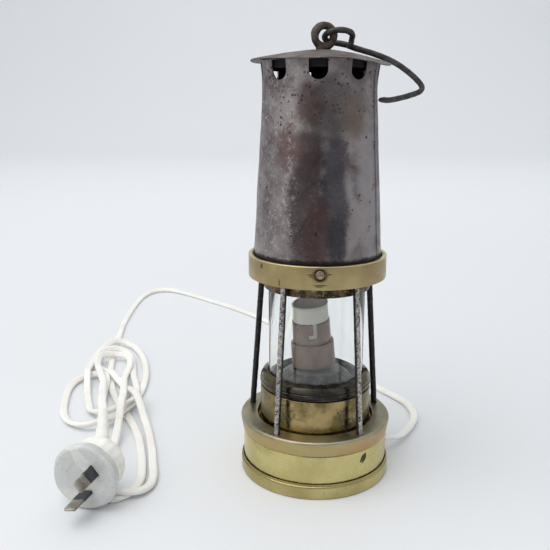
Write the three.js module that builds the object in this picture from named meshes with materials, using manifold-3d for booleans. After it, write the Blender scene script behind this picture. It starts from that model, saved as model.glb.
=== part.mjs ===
// A miner's safety lamp converted to mains light: brass fount, glass, five-pillar cage, sheet-steel
// bonnet with a crown, ring and hook, a bayonet lampholder inside the glass, and a two-pin lead.
// Millimetres, +Z up. The origin is the centre of the base, on the surface that the lamp stands on.
import * as THREE from "three";
import { mergeVertices } from "three/addons/utils/BufferGeometryUtils.js";
import Module from "manifold-3d";

const wasm = await Module();
wasm.setup();

// ---------------------------------------------------------------- driving dimensions
const GAP = 0.3; // between pieces that touch on the real lamp

const FOOT_R = 42.5; // foot ring
const FOOT_TOP = 7.5;
const FOUNT_R = 41.05;
const FOUNT_TOP = 24.2;
const FOUNT_WALL = 2.4;
const NECK_R = 31.2;
const NECK_BORE = 28.2;
const NECK_TOP = 50.6;

const LOWER_RING_TOP = 33;
const MID_RING_R = 37.8;
const MID_RING_BOTTOM = 114.2;
const MID_RING_TOP = 126.5;
const MID_RING_FLOOR = 117.6; // floor of the recess that the bonnet stands in
const MID_RING_BORE = 27.6;

const GLASS_R = 26.8;
const GLASS_WALL = 2;
const GLASS_BOTTOM = 57.5;
const GLASS_TOP = 112.6;

const PILLARS = 5;
const PILLAR_R = 1.68;
const PILLAR_FIRST = 18.4; // degrees round from +X
const PILLAR_FOOT = { r: 37.9, z: LOWER_RING_TOP };
const PILLAR_HEAD = { r: 31.8, z: MID_RING_BOTTOM };
const PILLAR_SUNK = 3; // length of each end inside its ring
const PILLAR_HOLE = PILLAR_R + GAP;

const BONNET_WALL = 1.1;
const BONNET_TOP = 226.7;
const NOTCHES = 9;
const NOTCH_FIRST = -95; // degrees, close to the front
const NOTCH_W = 9.4;
const NOTCH_BOTTOM = 217;

const CROWN_R = 36.2;
const CROWN_RIM = 226.9;
const CROWN_APEX = 232;

const BONNET_SCREWS = 3;
const SCREW_FIRST = -91;
const BONNET_SCREW_Z = 122.2;

const EYE_TURN = 17; // degrees: the upright plane of the ring and the hook at rest
const EYE_LEAN = 2; // how far the ring's centre is off the lamp's axis
const EYE_Z = 239.5;
const EYE_R = 5.15; // to the middle of the ring's wire
const EYE_WIRE = 2.05;
const HOOK_WIRE = 1.45;
const LINK_R = 7.2; // loop of the hook that holds the ring

const HOLDER_X = -0.9; // foot of the lampholder's axis
const HOLDER_Z = 63.2;
const HOLDER_LEAN = 5; // degrees towards -X
const PLUNGER_OFFSET = 3.1;

const CORD_D = 5;
const CORD_EXIT = 15; // degrees round from +X
const CORD_EXIT_Z = 12;
const HANK_HEIGHT = 12;

const PLUG_R = 18.1;
const PLUG_FACE = [-121.4, -52.6, PLUG_R + GAP];
const PLUG_HEADING = 256.3; // degrees: the way its pins point
const PLUG_ROLL = 248.2;
const PIN = { w: 6.35, t: 1.6, l: 17.06, side: 6.86, up: 3.96, lean: 30 };

const ROUND = 32; // facets round a large turned piece
const FINE = 20;
const SMALL = 10;

// The lead's route along the surface, from the end of its grommet to the hank, and then from the hank up
// to the plug.
const LEAD = [
  [51.3, 16.3, 7.8], [55.2, 23, 5.2], [60, 32.5, 3.3], [65, 42.5, 2.7], [69.5, 54, 2.6],
  [71, 66, 2.6], [69, 79, 2.6], [63.5, 91, 2.6], [52, 110, 2.6], [38, 135, 2.6],
  [20, 174, 2.6], [0, 217, 2.6], [-18, 251, 2.6], [-36, 281, 2.6], [-53, 304, 2.6],
  [-72, 326, 2.6], [-103, 358, 2.6], [-122, 376, 2.6], [-138, 387, 2.6], [-152, 388, 2.6],
  [-162, 379, 2.6], [-167.5, 362, 2.6], [-169.5, 338, 2.6], [-169.5, 299, 2.6],
  [-168, 262, 2.6], [-165.5, 238, 2.8], [-163.5, 220.5, 3],
];
const TAIL = [
  [-141.2, 73, 15.5], [-138, 58, 19], [-132.5, 36, 25.5], [-127, 14, 31], [-121.4, -6, 34],
];
// Outline of the loosely folded hank, and how many corners it is drawn with.
const HANK_CORNERS = 48;
const HANK = [
  [-92, -50], [-85, -44], [-84, -22], [-91, 14], [-104, 54], [-115, 96], [-124, 150], [-133, 188],
  [-148, 214], [-165, 216], [-176, 196], [-177, 150], [-177, 90], [-172, 52], [-158, 28],
  [-136, 18], [-118, 4], [-103, -14], [-97.5, -28], [-97, -45],
];

// ---------------------------------------------------------------- materials
const finish = (color, roughness, metalness, more = {}) =>
  new THREE.MeshStandardMaterial({ color, roughness, metalness, ...more });
const BRASS = finish(0xb59a4c, 0.35, 1);
const DULL_BRASS = finish(0x8f7c4a, 0.5, 1);
const BRONZE = finish(0x4a4238, 0.5, 0.8);
const STEEL = finish(0x777370, 0.55, 0.9);
const RUSTY_STEEL = finish(0x6a5f60, 0.6, 0.8);
const DARK_STEEL = finish(0x3c3b3a, 0.6, 0.8);
const GLASS = finish(0xdfe8e8, 0.05, 0, { transparent: true, opacity: 0.35 });
const RUBBER = finish(0x2b2b2b, 0.8, 0);
const BAKELITE = finish(0x4d3a30, 0.4, 0);
const WHITE_PLASTIC = finish(0xe6e4dc, 0.4, 0);
const CLEAR_PLASTIC = finish(0xdedfdc, 0.2, 0, { transparent: true, opacity: 0.6 });

// ---------------------------------------------------------------- geometry helpers
const rad = THREE.MathUtils.degToRad;
const lamp = new THREE.Group();

function add(name, geometry, material, parent = lamp) {
  const mesh = new THREE.Mesh(geometry, material);
  mesh.name = name;
  parent.add(mesh);
  return mesh;
}

// A solid of revolution about Z. A profile of [radius, height] that starts and ends off the axis is
// closed on itself.
function turned(profile, segments = ROUND) {
  const points = profile.map(([r, z]) => new THREE.Vector2(r, z));
  const first = points[0];
  const last = points[points.length - 1];
  if (first.x > 0 || last.x > 0) points.push(first.clone());
  return new THREE.LatheGeometry(points, segments).rotateX(Math.PI / 2);
}

// A plain ring, or a disc where the inner radius is 0.
function ring(inner, outer, bottom, top, segments = ROUND) {
  return turned([[inner, bottom], [outer, bottom], [outer, top], [inner, top]], segments);
}

function rod(radius, from, to, segments = SMALL) {
  const a = new THREE.Vector3(...from);
  const b = new THREE.Vector3(...to);
  const along = b.clone().sub(a);
  const upright = new THREE.Vector3(0, 1, 0);
  const turn = new THREE.Quaternion().setFromUnitVectors(upright, along.clone().normalize());
  return new THREE.CylinderGeometry(radius, radius, along.length(), segments)
    .applyQuaternion(turn)
    .translate(...a.add(b).multiplyScalar(0.5).toArray());
}

function box(w, d, h, x = 0, y = 0, z = 0) {
  return new THREE.BoxGeometry(w, d, h).translate(x, y, z);
}

// A round tube along a smooth curve.
function tube(points, radius, steps, sides = 8) {
  const through = points.map((p) => new THREE.Vector3(...p));
  const curve = new THREE.CatmullRomCurve3(through, false, "centripetal");
  const section = new THREE.Shape(
    Array.from({ length: sides }, (_, i) => {
      const a = (2 * Math.PI * i) / sides;
      return new THREE.Vector2(radius * Math.cos(a), radius * Math.sin(a));
    }),
  );
  return new THREE.ExtrudeGeometry(section, { steps, extrudePath: curve, curveSegments: sides });
}

function solid(geometry) {
  const bare = geometry.clone();
  bare.deleteAttribute("normal");
  bare.deleteAttribute("uv");
  const merged = mergeVertices(bare, 1e-4);
  return new wasm.Manifold(
    new wasm.Mesh({
      numProp: 3,
      vertProperties: merged.attributes.position.array,
      triVerts: new Uint32Array(merged.index.array),
    }),
  );
}

function geometryOf(manifold) {
  const mesh = manifold.getMesh();
  const geometry = new THREE.BufferGeometry();
  const corners = new Float32Array(mesh.vertProperties);
  geometry.setAttribute("position", new THREE.BufferAttribute(corners, 3));
  geometry.setIndex(new THREE.BufferAttribute(new Uint32Array(mesh.triVerts), 1));
  const flat = geometry.toNonIndexed();
  flat.computeVertexNormals();
  return flat;
}

const cut = (geometry, ...tools) =>
  geometryOf(tools.reduce((body, tool) => body.subtract(solid(tool)), solid(geometry)));
const join = (...pieces) => geometryOf(pieces.map(solid).reduce((body, piece) => body.add(piece)));

// Copies of a tool, turned round Z.
const around = (count, first, make) =>
  Array.from({ length: count }, (_, i) => make(i).rotateZ(rad(first + (360 / count) * i)));

// ---------------------------------------------------------------- base and fount
const BASE_SCREWS = 3;
const BASE_SCREW_FIRST = 30;
const BASE_SCREW_AT = 34;
const PLATE_T = 2.5;
const FOUNT_SEAT_R = 39.2; // the plate's edge, and the part of the fount inside the foot ring
const FLANGE_BOTTOM = PLATE_T + GAP;
const FLANGE_TOP = 5.3;
const CORD_HOLE = 3.4;
const exitDirection = new THREE.Vector3(Math.cos(rad(CORD_EXIT)), Math.sin(rad(CORD_EXIT)), 0);
const exitAt = (r, z = CORD_EXIT_Z) => [exitDirection.x * r, exitDirection.y * r, z];

function basePlate() {
  const holes = around(BASE_SCREWS, BASE_SCREW_FIRST, () => turned([
    [0, -1], [3.4, -1], [3.4, 1.1], [1.9, 1.1], [1.9, PLATE_T + 1], [0, PLATE_T + 1],
  ], SMALL).translate(BASE_SCREW_AT, 0, 0));
  add("base_plate", cut(ring(0, FOUNT_SEAT_R, 0, PLATE_T), ...holes), BRASS);
  const screws = around(BASE_SCREWS, BASE_SCREW_FIRST, () => {
    const turnedScrew = turned([
      [0, 0.2], [2.8, 0.2], [3.1, 0.5], [3.1, 0.8], [1.5, 0.8], [1.5, 4.8], [0, 4.8],
    ], SMALL);
    return cut(turnedScrew, box(8, 0.8, 0.8, 0, 0, 0.2)).translate(BASE_SCREW_AT, 0, 0);
  });
  screws.forEach((screw, i) => add("base_screw_" + (i + 1), screw, STEEL));
}

function footRing() {
  const bore = FOUNT_SEAT_R + 0.35;
  const lip = { inner: FOUNT_R + 0.35, outer: 41.85, top: 8.6 };
  add("foot_ring", turned([
    [bore, 0], [FOOT_R - 0.5, 0], [FOOT_R, 0.5], [FOOT_R, FOOT_TOP - 0.4], [FOOT_R - 0.3, FOOT_TOP - 0.1],
    [lip.outer, FOOT_TOP], [lip.outer, lip.top], [lip.inner, lip.top], [lip.inner, FOOT_TOP],
    [bore, FOOT_TOP],
  ]), BRASS);
}

// Hollow vessel with an inward flange below and a neck above, and a small locking recess at the side.
function fount() {
  const inner = FOUNT_R - FOUNT_WALL;
  const shell = turned([
    [29, FLANGE_BOTTOM], [FOUNT_SEAT_R, FLANGE_BOTTOM], [FOUNT_SEAT_R, FOOT_TOP + GAP],
    [FOUNT_R, FOOT_TOP + GAP],
    [FOUNT_R, FOUNT_TOP - 0.4], [FOUNT_R - 0.4, FOUNT_TOP], [NECK_R, FOUNT_TOP], [NECK_R, NECK_TOP - 0.4],
    [NECK_R - 0.4, NECK_TOP], [NECK_BORE, NECK_TOP], [NECK_BORE, FOUNT_TOP - 2], [inner, FOUNT_TOP - 2],
    [inner, 8], [37, 8], [37, FLANGE_TOP], [29, FLANGE_TOP],
  ]);
  const screwHoles = around(BASE_SCREWS, BASE_SCREW_FIRST, () =>
    rod(1.9, [BASE_SCREW_AT, 0, 0], [BASE_SCREW_AT, 0, 8]));
  const cordHole = rod(CORD_HOLE, exitAt(30), exitAt(50), FINE);
  add("fount", cut(shell, ...screwHoles, cordHole, lockRecess()), BRASS);
  add("lock_plug", rod(1.7, lockAt(FOUNT_R - 1.3), lockAt(FOUNT_R - 0.5)), DARK_STEEL);
}

const LOCK_ANGLE = -52;
const LOCK_Z = 18;
function lockAt(r) {
  return [r * Math.cos(rad(LOCK_ANGLE)), r * Math.sin(rad(LOCK_ANGLE)), LOCK_Z];
}
function lockRecess() {
  return rod(2.1, lockAt(FOUNT_R - 1.6), lockAt(FOUNT_R + 2));
}

// ---------------------------------------------------------------- glass and its seat
function glassAndSeat() {
  add("glass_seat", turned([
    [20, NECK_TOP + GAP], [30.6, NECK_TOP + GAP], [30.6, 51.9], [31.5, 52.3], [31.5, 54], [31, 54.4],
    [31.2, 55.6], [29.9, 57.9], [27.2, 59.3], [27.2, 56.2], [23.9, 56.2], [23.9, 52.9], [20, 52.9],
  ]), BRONZE);
  add("lower_gasket", ring(24.4, GLASS_R, 56.5, 57.2), RUBBER);
  add("glass", ring(GLASS_R - GLASS_WALL, GLASS_R, GLASS_BOTTOM, GLASS_TOP), GLASS);
}

// ---------------------------------------------------------------- lampholder inside the glass
// The holder is built upright from its own foot and leans as one group.
const holder = new THREE.Group();
holder.position.set(HOLDER_X, 0, HOLDER_Z);
holder.rotation.y = -rad(HOLDER_LEAN);
lamp.add(holder);

const HOLDER_BODY = { r: 12.1, top: 12.9 };
const BARREL = { r: 10.7, bore: 9.4, top: 24 };
const SLEEVE = { r: 10.1, bore: 8.9, top: 33 };
const SLOT_TURN = 10; // degrees: the front slot is a little to the right of the middle
const BLOCK_TOP = 14.5;

function burnerDome() {
  add("burner_dome", turned([
    [23.4, 53.2], [21.7, 55.4], [18.7, 58.5], [15, 61], [12.5, 61.5], [3.2, 61.5],
    [3.2, 60], [12, 60], [17.6, 57.2], [20.4, 54.4], [21.2, 53.2],
  ]), DARK_STEEL);
}

function lampholder() {
  const b = HOLDER_BODY;
  add("holder_body", turned([
    [2.6, 0], [b.r - 0.5, 0], [b.r, 0.5], [b.r, b.top - 0.6], [b.r - 0.6, b.top], [9.9, b.top],
    [9.9, 2], [2.6, 2],
  ], FINE), BAKELITE, holder);
  const barrel = ring(BARREL.bore, BARREL.r, b.top + GAP, BARREL.top, FINE);
  add("holder_barrel", cut(barrel, ...around(2, SLOT_TURN, bayonetSlot)), BAKELITE, holder);
  const sleeve = ring(SLEEVE.bore, SLEEVE.r, BARREL.top + GAP, SLEEVE.top, FINE);
  add("holder_sleeve", sleeve, WHITE_PLASTIC, holder);
  const block = turned([
    [0, 6.4], [9, 6.4], [9, BLOCK_TOP - 0.6], [8.4, BLOCK_TOP], [0, BLOCK_TOP],
  ], FINE);
  const bores = [-PLUNGER_OFFSET, PLUNGER_OFFSET].map((x) => rod(1.1, [x, 0, 2], [x, 0, 16]));
  add("terminal_block", cut(block, ...bores), WHITE_PLASTIC, holder);
}

// L-shaped slot for a lamp's bayonet pin, open at the top of the barrel.
function bayonetSlot() {
  const down = box(2.6, 6, 9, 0, -BARREL.r, BARREL.top - 3.5);
  const across = box(5.2, 6, 2.6, -1.3, -BARREL.r, BARREL.top - 6.9);
  return join(down, across);
}

// Sprung contacts: a headed pin each, with a coil spring under its head.
const PLUNGER = { head: 2.1, stem: 0.7, neck: 19.2, top: 21.4, foot: 9.6 };
const SPRING = { r: 1.45, wire: 0.3, turns: 4 };
function contacts() {
  [-1, 1].forEach((side, i) => {
    const x = side * PLUNGER_OFFSET;
    const pin = turned([[0, PLUNGER.foot], [PLUNGER.stem, PLUNGER.foot], [PLUNGER.stem, PLUNGER.neck],
      [PLUNGER.head, PLUNGER.neck], [PLUNGER.head, PLUNGER.top - 0.6], [PLUNGER.head - 0.6, PLUNGER.top],
      [0, PLUNGER.top]], SMALL).translate(x, 0, 0);
    add("contact_plunger_" + (i + 1), pin, BRASS, holder);
    const bottom = BLOCK_TOP + SPRING.wire + GAP;
    const height = PLUNGER.neck - BLOCK_TOP - 2 * (SPRING.wire + GAP);
    const steps = SPRING.turns * 8;
    const coil = Array.from({ length: steps + 1 }, (_, k) => {
      const a = (2 * Math.PI * SPRING.turns * k) / steps;
      return [x + SPRING.r * Math.cos(a), SPRING.r * Math.sin(a), bottom + (height * k) / steps];
    });
    add("contact_spring_" + (i + 1), tube(coil, SPRING.wire, steps, 5), STEEL, holder);
  });
}

// ---------------------------------------------------------------- gauze inside the bonnet
function gauze() {
  add("upper_gasket", ring(24.6, GLASS_R + 0.1, GLASS_TOP + GAP, 114), RUBBER);
  add("gauze_ring", ring(20.8, MID_RING_BORE - 0.5, 114.3, 117.3), BRASS);
  add("gauze", turned([
    [0, 203.4], [15.4, 202.3], [16.5, 199.8], [19.5, 118.3], [19.5, 117.6], [24, 117.6],
    [24, 118.3], [20.3, 118.3], [17.3, 200], [16, 203], [0, 204.2],
  ], FINE), STEEL);
}

// ---------------------------------------------------------------- cage
function pillarPoint(i, along) {
  const foot = PILLAR_FOOT;
  const head = PILLAR_HEAD;
  const t = along / (head.z - foot.z);
  const r = foot.r + (head.r - foot.r) * t;
  const angle = rad(PILLAR_FIRST + (360 / PILLARS) * i);
  return [r * Math.cos(angle), r * Math.sin(angle), foot.z + along];
}

function pillars() {
  const span = PILLAR_HEAD.z - PILLAR_FOOT.z;
  for (let i = 0; i < PILLARS; i++) {
    const pillar = rod(PILLAR_R, pillarPoint(i, -PILLAR_SUNK), pillarPoint(i, span + PILLAR_SUNK));
    add("pillar_" + (i + 1), pillar, STEEL);
  }
}

function pillarHoles() {
  const span = PILLAR_HEAD.z - PILLAR_FOOT.z;
  const reach = PILLAR_SUNK + GAP;
  return Array.from({ length: PILLARS }, (_, i) =>
    rod(PILLAR_HOLE, pillarPoint(i, -reach), pillarPoint(i, span + reach)));
}

function rings() {
  const lower = turned([
    [31.8, FOUNT_TOP + GAP], [41.4, FOUNT_TOP + GAP], [42.5, 30.8], [42.6, 31.8], [42.2, 32.6],
    [41.5, LOWER_RING_TOP], [33.3, LOWER_RING_TOP], [33, 32.7], [33, 29], [31.8, 28.4],
  ]);
  add("lower_ring", cut(lower, ...pillarHoles()), DULL_BRASS);
  const middle = turned([
    [MID_RING_BORE, MID_RING_BOTTOM], [MID_RING_R - 0.3, MID_RING_BOTTOM],
    [MID_RING_R, MID_RING_BOTTOM + 0.3], [MID_RING_R, MID_RING_TOP - 0.6],
    [MID_RING_R - 0.4, MID_RING_TOP], [35.2, MID_RING_TOP], [35.2, MID_RING_FLOOR],
    [MID_RING_BORE, MID_RING_FLOOR],
  ]);
  add("middle_ring", cut(middle, ...pillarHoles(), ...screwBores(1.7, 3.25)), BRASS);
  add("collar", turned([
    [27.3, 107.7], [28.9, 107.7], [29.3, 108.1], [29.3, MID_RING_BOTTOM - GAP],
    [27.3, MID_RING_BOTTOM - GAP],
  ]), BRONZE);
}

// Radial hole for each bonnet screw, with a wider counterbore for its head.
function screwBores(hole, counterbore) {
  const depth = MID_RING_R - 1.5;
  return around(BONNET_SCREWS, SCREW_FIRST, () => join(
    rod(hole, [30, 0, BONNET_SCREW_Z], [42, 0, BONNET_SCREW_Z]),
    rod(counterbore, [depth, 0, BONNET_SCREW_Z], [42, 0, BONNET_SCREW_Z], FINE),
  ));
}

function bonnetScrews() {
  for (let i = 0; i < BONNET_SCREWS; i++) {
    const head = rod(2.4, [MID_RING_R - 1.2, 0, 0], [MID_RING_R - 0.1, 0, 0]);
    const shank = rod(1.3, [32.6, 0, 0], [MID_RING_R - 1, 0, 0]);
    const screw = cut(join(head, shank), box(1, 8, 0.8, MID_RING_R, 0, 0));
    const mesh = add("bonnet_screw_" + (i + 1), screw, STEEL);
    mesh.rotation.z = rad(SCREW_FIRST + (360 / BONNET_SCREWS) * i);
    mesh.position.z = BONNET_SCREW_Z;
  }
}

// ---------------------------------------------------------------- bonnet and crown
function bonnet() {
  const outer = [[34.7, MID_RING_FLOOR + 0.4], [34.7, 126.8], [29.95, 213], [31.2, BONNET_TOP]];
  const inner = outer.map(([r, z]) => [r - BONNET_WALL, z]).reverse();
  const notches = around(NOTCHES, NOTCH_FIRST, () => join(
    rod(NOTCH_W / 2, [20, 0, NOTCH_BOTTOM + NOTCH_W / 2], [45, 0, NOTCH_BOTTOM + NOTCH_W / 2], FINE),
    box(25, NOTCH_W, 20, 32.5, 0, NOTCH_BOTTOM + NOTCH_W / 2 + 10),
  ));
  add("bonnet", cut(turned([...outer, ...inner]), ...notches, ...screwBores(1.7, 1.7)), RUSTY_STEEL);
  add("crown_band", ring(28, 29.3, 222.8, 226.6), DARK_STEEL);
  add("crown", turned([
    [2.5, CROWN_APEX], [9, CROWN_APEX], [20, 230.4], [33.5, 227.6], [CROWN_R, CROWN_RIM],
    [CROWN_R, 226.1], [33.3, 226.7], [20, 229.4], [9, 231.1], [2.5, 231.1],
  ].reverse()), RUSTY_STEEL);
}

// ---------------------------------------------------------------- ring and hook
// Built in the plane of the ring and turned with it: X runs outwards from the ring's centre, Y is the
// ring's own axis and Z is up.
const eye = new THREE.Group();
eye.rotation.z = rad(EYE_TURN);
lamp.add(eye);

function eyeRing() {
  const wire = new THREE.TorusGeometry(EYE_R, EYE_WIRE, 10, 22)
    .rotateX(Math.PI / 2).translate(EYE_LEAN, 0, EYE_Z);
  const stem = rod(2, [0, 0, 229], [0, 0, 235]);
  const peened = turned([[0, 228.3], [2.6, 228.3], [3.6, 229], [3.6, 229.6], [0, 229.6]], SMALL);
  add("eye_ring", join(wire, stem, peened), RUSTY_STEEL, eye);
  add("eye_washer", ring(2.4, 6, 229.9, 230.8, FINE), STEEL, eye);
}

// Link loop round the ring, straight shank along the crown, sharp bend, and the point drawn back in.
const LINK_DROOP = 5; // degrees: slope of the loop's long axis
const LINK_TILT = 20; // degrees: its front edge is higher than its back edge
const LINK_AT = [7.9, 0, 0];
const HOOK_POINTS = [
  [13.2, 4, -3.5], [16.6, 2.6, -4.8], [20.7, 1.4, -6.1], [26.1, 0.5, -7.5], [31.7, 0, -9.2],
  [37.6, 0, -11.2], [43.6, 0, -14], [49.7, 0, -17.8], [54.7, 0, -21.7], [57.3, 0, -24.8],
  [56.5, 0, -26.9], [53.9, 0, -28.1], [50.3, 0, -29.2], [44.4, 0, -30.7], [38.5, 0, -31.7],
  [32.6, 0, -31.7],
];

function hook() {
  const droop = rad(LINK_DROOP);
  const tilt = rad(LINK_TILT);
  const along = new THREE.Vector3(Math.cos(droop), 0, -Math.sin(droop));
  const up = new THREE.Vector3(-along.z, 0, along.x);
  const across = new THREE.Vector3(0, -Math.cos(tilt), 0).addScaledVector(up, Math.sin(tilt));
  const normal = along.clone().cross(across);
  const centre = new THREE.Vector3(...LINK_AT);
  const place = new THREE.Matrix4().makeBasis(along, across, normal).setPosition(centre);
  const link = new THREE.TorusGeometry(LINK_R, HOOK_WIRE, 8, 22).applyMatrix4(place);
  const start = centre.clone().addScaledVector(across, -LINK_R);
  const shank = tube([start.toArray(), ...HOOK_POINTS], HOOK_WIRE, 32, 8);
  const tip = new THREE.SphereGeometry(HOOK_WIRE, 8, 6).translate(...HOOK_POINTS[HOOK_POINTS.length - 1]);
  const mesh = add("hook", join(link, shank, tip), DARK_STEEL, eye);
  mesh.position.set(EYE_LEAN, 0, EYE_Z);
}

// ---------------------------------------------------------------- lead
const GROMMET = { inner: 27.5, outer: 47.5, bore: 2.4, flange: 3.9 };

function grommet() {
  const inside = FOUNT_R - FOUNT_WALL - 0.8;
  const { bore, inner, outer, flange } = GROMMET;
  const profile = [
    [bore, inner], [2.9, inner], [3.1, inside - 1.2], [flange, inside - 1.2], [flange, inside],
    [3.1, inside], [3.1, FOUNT_R + 1], [2.8, outer], [bore, outer],
  ];
  const lying = turned(profile, SMALL).rotateY(Math.PI / 2).rotateZ(rad(CORD_EXIT));
  add("cord_grommet", lying.translate(0, 0, CORD_EXIT_Z), WHITE_PLASTIC);
}

function innerLead() {
  const foot = [HOLDER_X, 0];
  add("inner_lead", tube([
    exitAt(45), exitAt(37), exitAt(29), exitAt(23, 12.4), exitAt(13, 16), exitAt(4, 27), [...foot, 42],
    [...foot, 54], [...foot, 63], [HOLDER_X - 0.3, 0, 69],
  ], 2, 24), WHITE_PLASTIC);
}

function lead() {
  add("cord_run", tube([exitAt(48.2, 9.7), ...LEAD], CORD_D / 2, 52), WHITE_PLASTIC);
  const outline = new THREE.CatmullRomCurve3(HANK.map(([x, y]) => new THREE.Vector3(x, y, 0)), true);
  const corners = Array.from({ length: HANK_CORNERS }, (_, i) => outline.getPoint(i / HANK_CORNERS));
  const hank = { depth: HANK_HEIGHT, bevelEnabled: false };
  add("cord_hank", new THREE.ExtrudeGeometry(new THREE.Shape(corners), hank), WHITE_PLASTIC);
  add("cord_tail", tube(TAIL, CORD_D / 2, 10), WHITE_PLASTIC);
}

// ---------------------------------------------------------------- plug
// Built facing +Z from the middle of its face, with Y through the top of the two pins' slant.
const plug = new THREE.Group();
plug.rotation.set(Math.PI / 2, rad(PLUG_HEADING + 90), 0);
plug.position.set(...PLUG_FACE);
lamp.add(plug);

const PLUG_SPLIT = -5.6; // between the clear face and the body
const PLUG_BODY_R = 15;
const PLUG_BODY_BORE = 12.2;
const PLUG_FLOOR = -17;
const PLUG_BACK = -22;
const RELIEF = { y: 11.5, r: 3.2 }; // where the cord goes in, at the top of the back

function pinPlace(side) {
  return new THREE.Matrix4().makeRotationZ(rad(PLUG_ROLL))
    .multiply(new THREE.Matrix4().makeTranslation(side * PIN.side, PIN.up, 0))
    .multiply(new THREE.Matrix4().makeRotationZ(side * rad(PIN.lean)));
}

function plugPieces() {
  const slots = [-1, 1].map((side) =>
    box(PIN.t + 2 * GAP, PIN.w + 2 * GAP, 20, 0, 0, 0).applyMatrix4(pinPlace(side)));
  add("plug_face", cut(turned([
    [0, PLUG_SPLIT + GAP], [PLUG_R - 0.3, PLUG_SPLIT + GAP], [PLUG_R, -4.6], [PLUG_R, -1.2],
    [PLUG_R - 1.2, 0], [0, 0],
  ]), ...slots), CLEAR_PLASTIC, plug);
  const shell = turned([
    [0, PLUG_BACK], [PLUG_BODY_R - 3, PLUG_BACK], [PLUG_BODY_R - 0.8, PLUG_BACK + 1.6],
    [PLUG_BODY_R, PLUG_BACK + 4.4], [PLUG_BODY_R, PLUG_SPLIT], [PLUG_BODY_BORE, PLUG_SPLIT],
    [PLUG_BODY_BORE, PLUG_FLOOR], [0, PLUG_FLOOR],
  ]);
  const relief = rod(RELIEF.r, [0, RELIEF.y - 2.4, PLUG_FLOOR + 5], [0, RELIEF.y, PLUG_BACK - 4]);
  add("plug_body", cut(shell, relief), WHITE_PLASTIC, plug);
  [-1, 1].forEach((side, i) => {
    const blade = new THREE.ExtrudeGeometry(bladeOutline(), { depth: PIN.t, bevelEnabled: false })
      .translate(0, 0, -PIN.t / 2).rotateY(Math.PI / 2).rotateX(Math.PI / 2);
    add("plug_pin_" + (i + 1), blade.applyMatrix4(pinPlace(side)), DARK_STEEL, plug);
  });
}

// A blade's flat outline: X across its width, Y along its length.
function bladeOutline() {
  const w = PIN.w / 2;
  const root = -9;
  const corners = [
    [-w, root], [w, root], [w, PIN.l - 0.8], [w - 0.8, PIN.l], [0.8 - w, PIN.l], [-w, PIN.l - 0.8],
  ];
  return new THREE.Shape(corners.map(([x, y]) => new THREE.Vector2(x, y)));
}

// ---------------------------------------------------------------- assembly
basePlate();
footRing();
fount();
glassAndSeat();
burnerDome();
lampholder();
contacts();
gauze();
pillars();
rings();
bonnetScrews();
bonnet();
eyeRing();
hook();
grommet();
innerLead();
lead();
plugPieces();

export default lamp;
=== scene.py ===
import math

import bmesh
import bpy
import numpy as np
from mathutils import Matrix, Vector, noise

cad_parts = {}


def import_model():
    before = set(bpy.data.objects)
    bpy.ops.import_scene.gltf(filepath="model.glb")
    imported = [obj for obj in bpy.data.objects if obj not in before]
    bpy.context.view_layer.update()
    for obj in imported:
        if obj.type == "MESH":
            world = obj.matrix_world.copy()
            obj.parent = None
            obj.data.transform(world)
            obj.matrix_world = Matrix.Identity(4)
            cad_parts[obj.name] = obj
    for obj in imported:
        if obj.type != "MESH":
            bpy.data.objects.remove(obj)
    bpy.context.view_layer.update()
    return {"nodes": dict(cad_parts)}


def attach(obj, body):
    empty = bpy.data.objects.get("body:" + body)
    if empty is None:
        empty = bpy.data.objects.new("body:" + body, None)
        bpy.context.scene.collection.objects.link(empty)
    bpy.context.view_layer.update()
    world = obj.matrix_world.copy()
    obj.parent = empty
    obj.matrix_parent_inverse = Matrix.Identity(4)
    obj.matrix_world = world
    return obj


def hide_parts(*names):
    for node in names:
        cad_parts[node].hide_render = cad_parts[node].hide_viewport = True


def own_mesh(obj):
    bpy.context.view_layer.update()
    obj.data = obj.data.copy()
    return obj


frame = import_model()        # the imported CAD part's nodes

MM = 0.001

# ------------------------------------------------------------------ sizes shared with the CAD, in mm
FOOT_R, FOOT_TOP = 42.5, 7.5
FOUNT_R, FOUNT_TOP, FOUNT_SEAT_R = 41.05, 24.2, 39.2
NECK_R, NECK_BORE, NECK_TOP = 31.2, 28.2, 50.6
LOWER_RING_TOP = 33
MID_RING_R, MID_RING_BOTTOM, MID_RING_TOP, MID_RING_FLOOR = 37.8, 114.2, 126.5, 117.6
MID_RING_BORE = 27.6
GLASS_R, GLASS_BORE, GLASS_BOTTOM, GLASS_TOP = 26.8, 24.8, 57.5, 112.6
PILLARS, PILLAR_R, PILLAR_FIRST = 5, 1.68, 18.4
PILLAR_FOOT_R, PILLAR_HEAD_R, PILLAR_SUNK = 37.9, 31.8, 3
BONNET_BOTTOM, BONNET_TOP, BONNET_SHEET = 118, 226.7, 0.8
NOTCHES, NOTCH_FIRST, NOTCH_W, NOTCH_BOTTOM = 9, -95, 9.4, 217
CROWN_R, CROWN_RIM, CROWN_APEX = 36.2, 226.9, 232
SCREWS, SCREW_FIRST, SCREW_Z = 3, -91, 122.2
EYE_TURN, EYE_LEAN, EYE_Z, EYE_R, EYE_WIRE = 17, 2, 239.5, 5.15, 2.05
HOOK_WIRE, LINK_R, LINK_DROOP, LINK_TILT, LINK_AT = 1.45, 7.2, 5, 20, (7.9, 0, 0)
HOOK_POINTS = [
    (13.2, 4, -3.5), (16.6, 2.6, -4.8), (20.7, 1.4, -6.1), (26.1, 0.5, -7.5), (31.7, 0, -9.2),
    (37.6, 0, -11.2), (43.6, 0, -14), (49.7, 0, -17.8), (54.7, 0, -21.7), (57.3, 0, -24.8),
    (56.5, 0, -26.9), (53.9, 0, -28.1), (50.3, 0, -29.2), (44.4, 0, -30.7), (38.5, 0, -31.7),
    (31.8, 0, -31.7),
]
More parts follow.
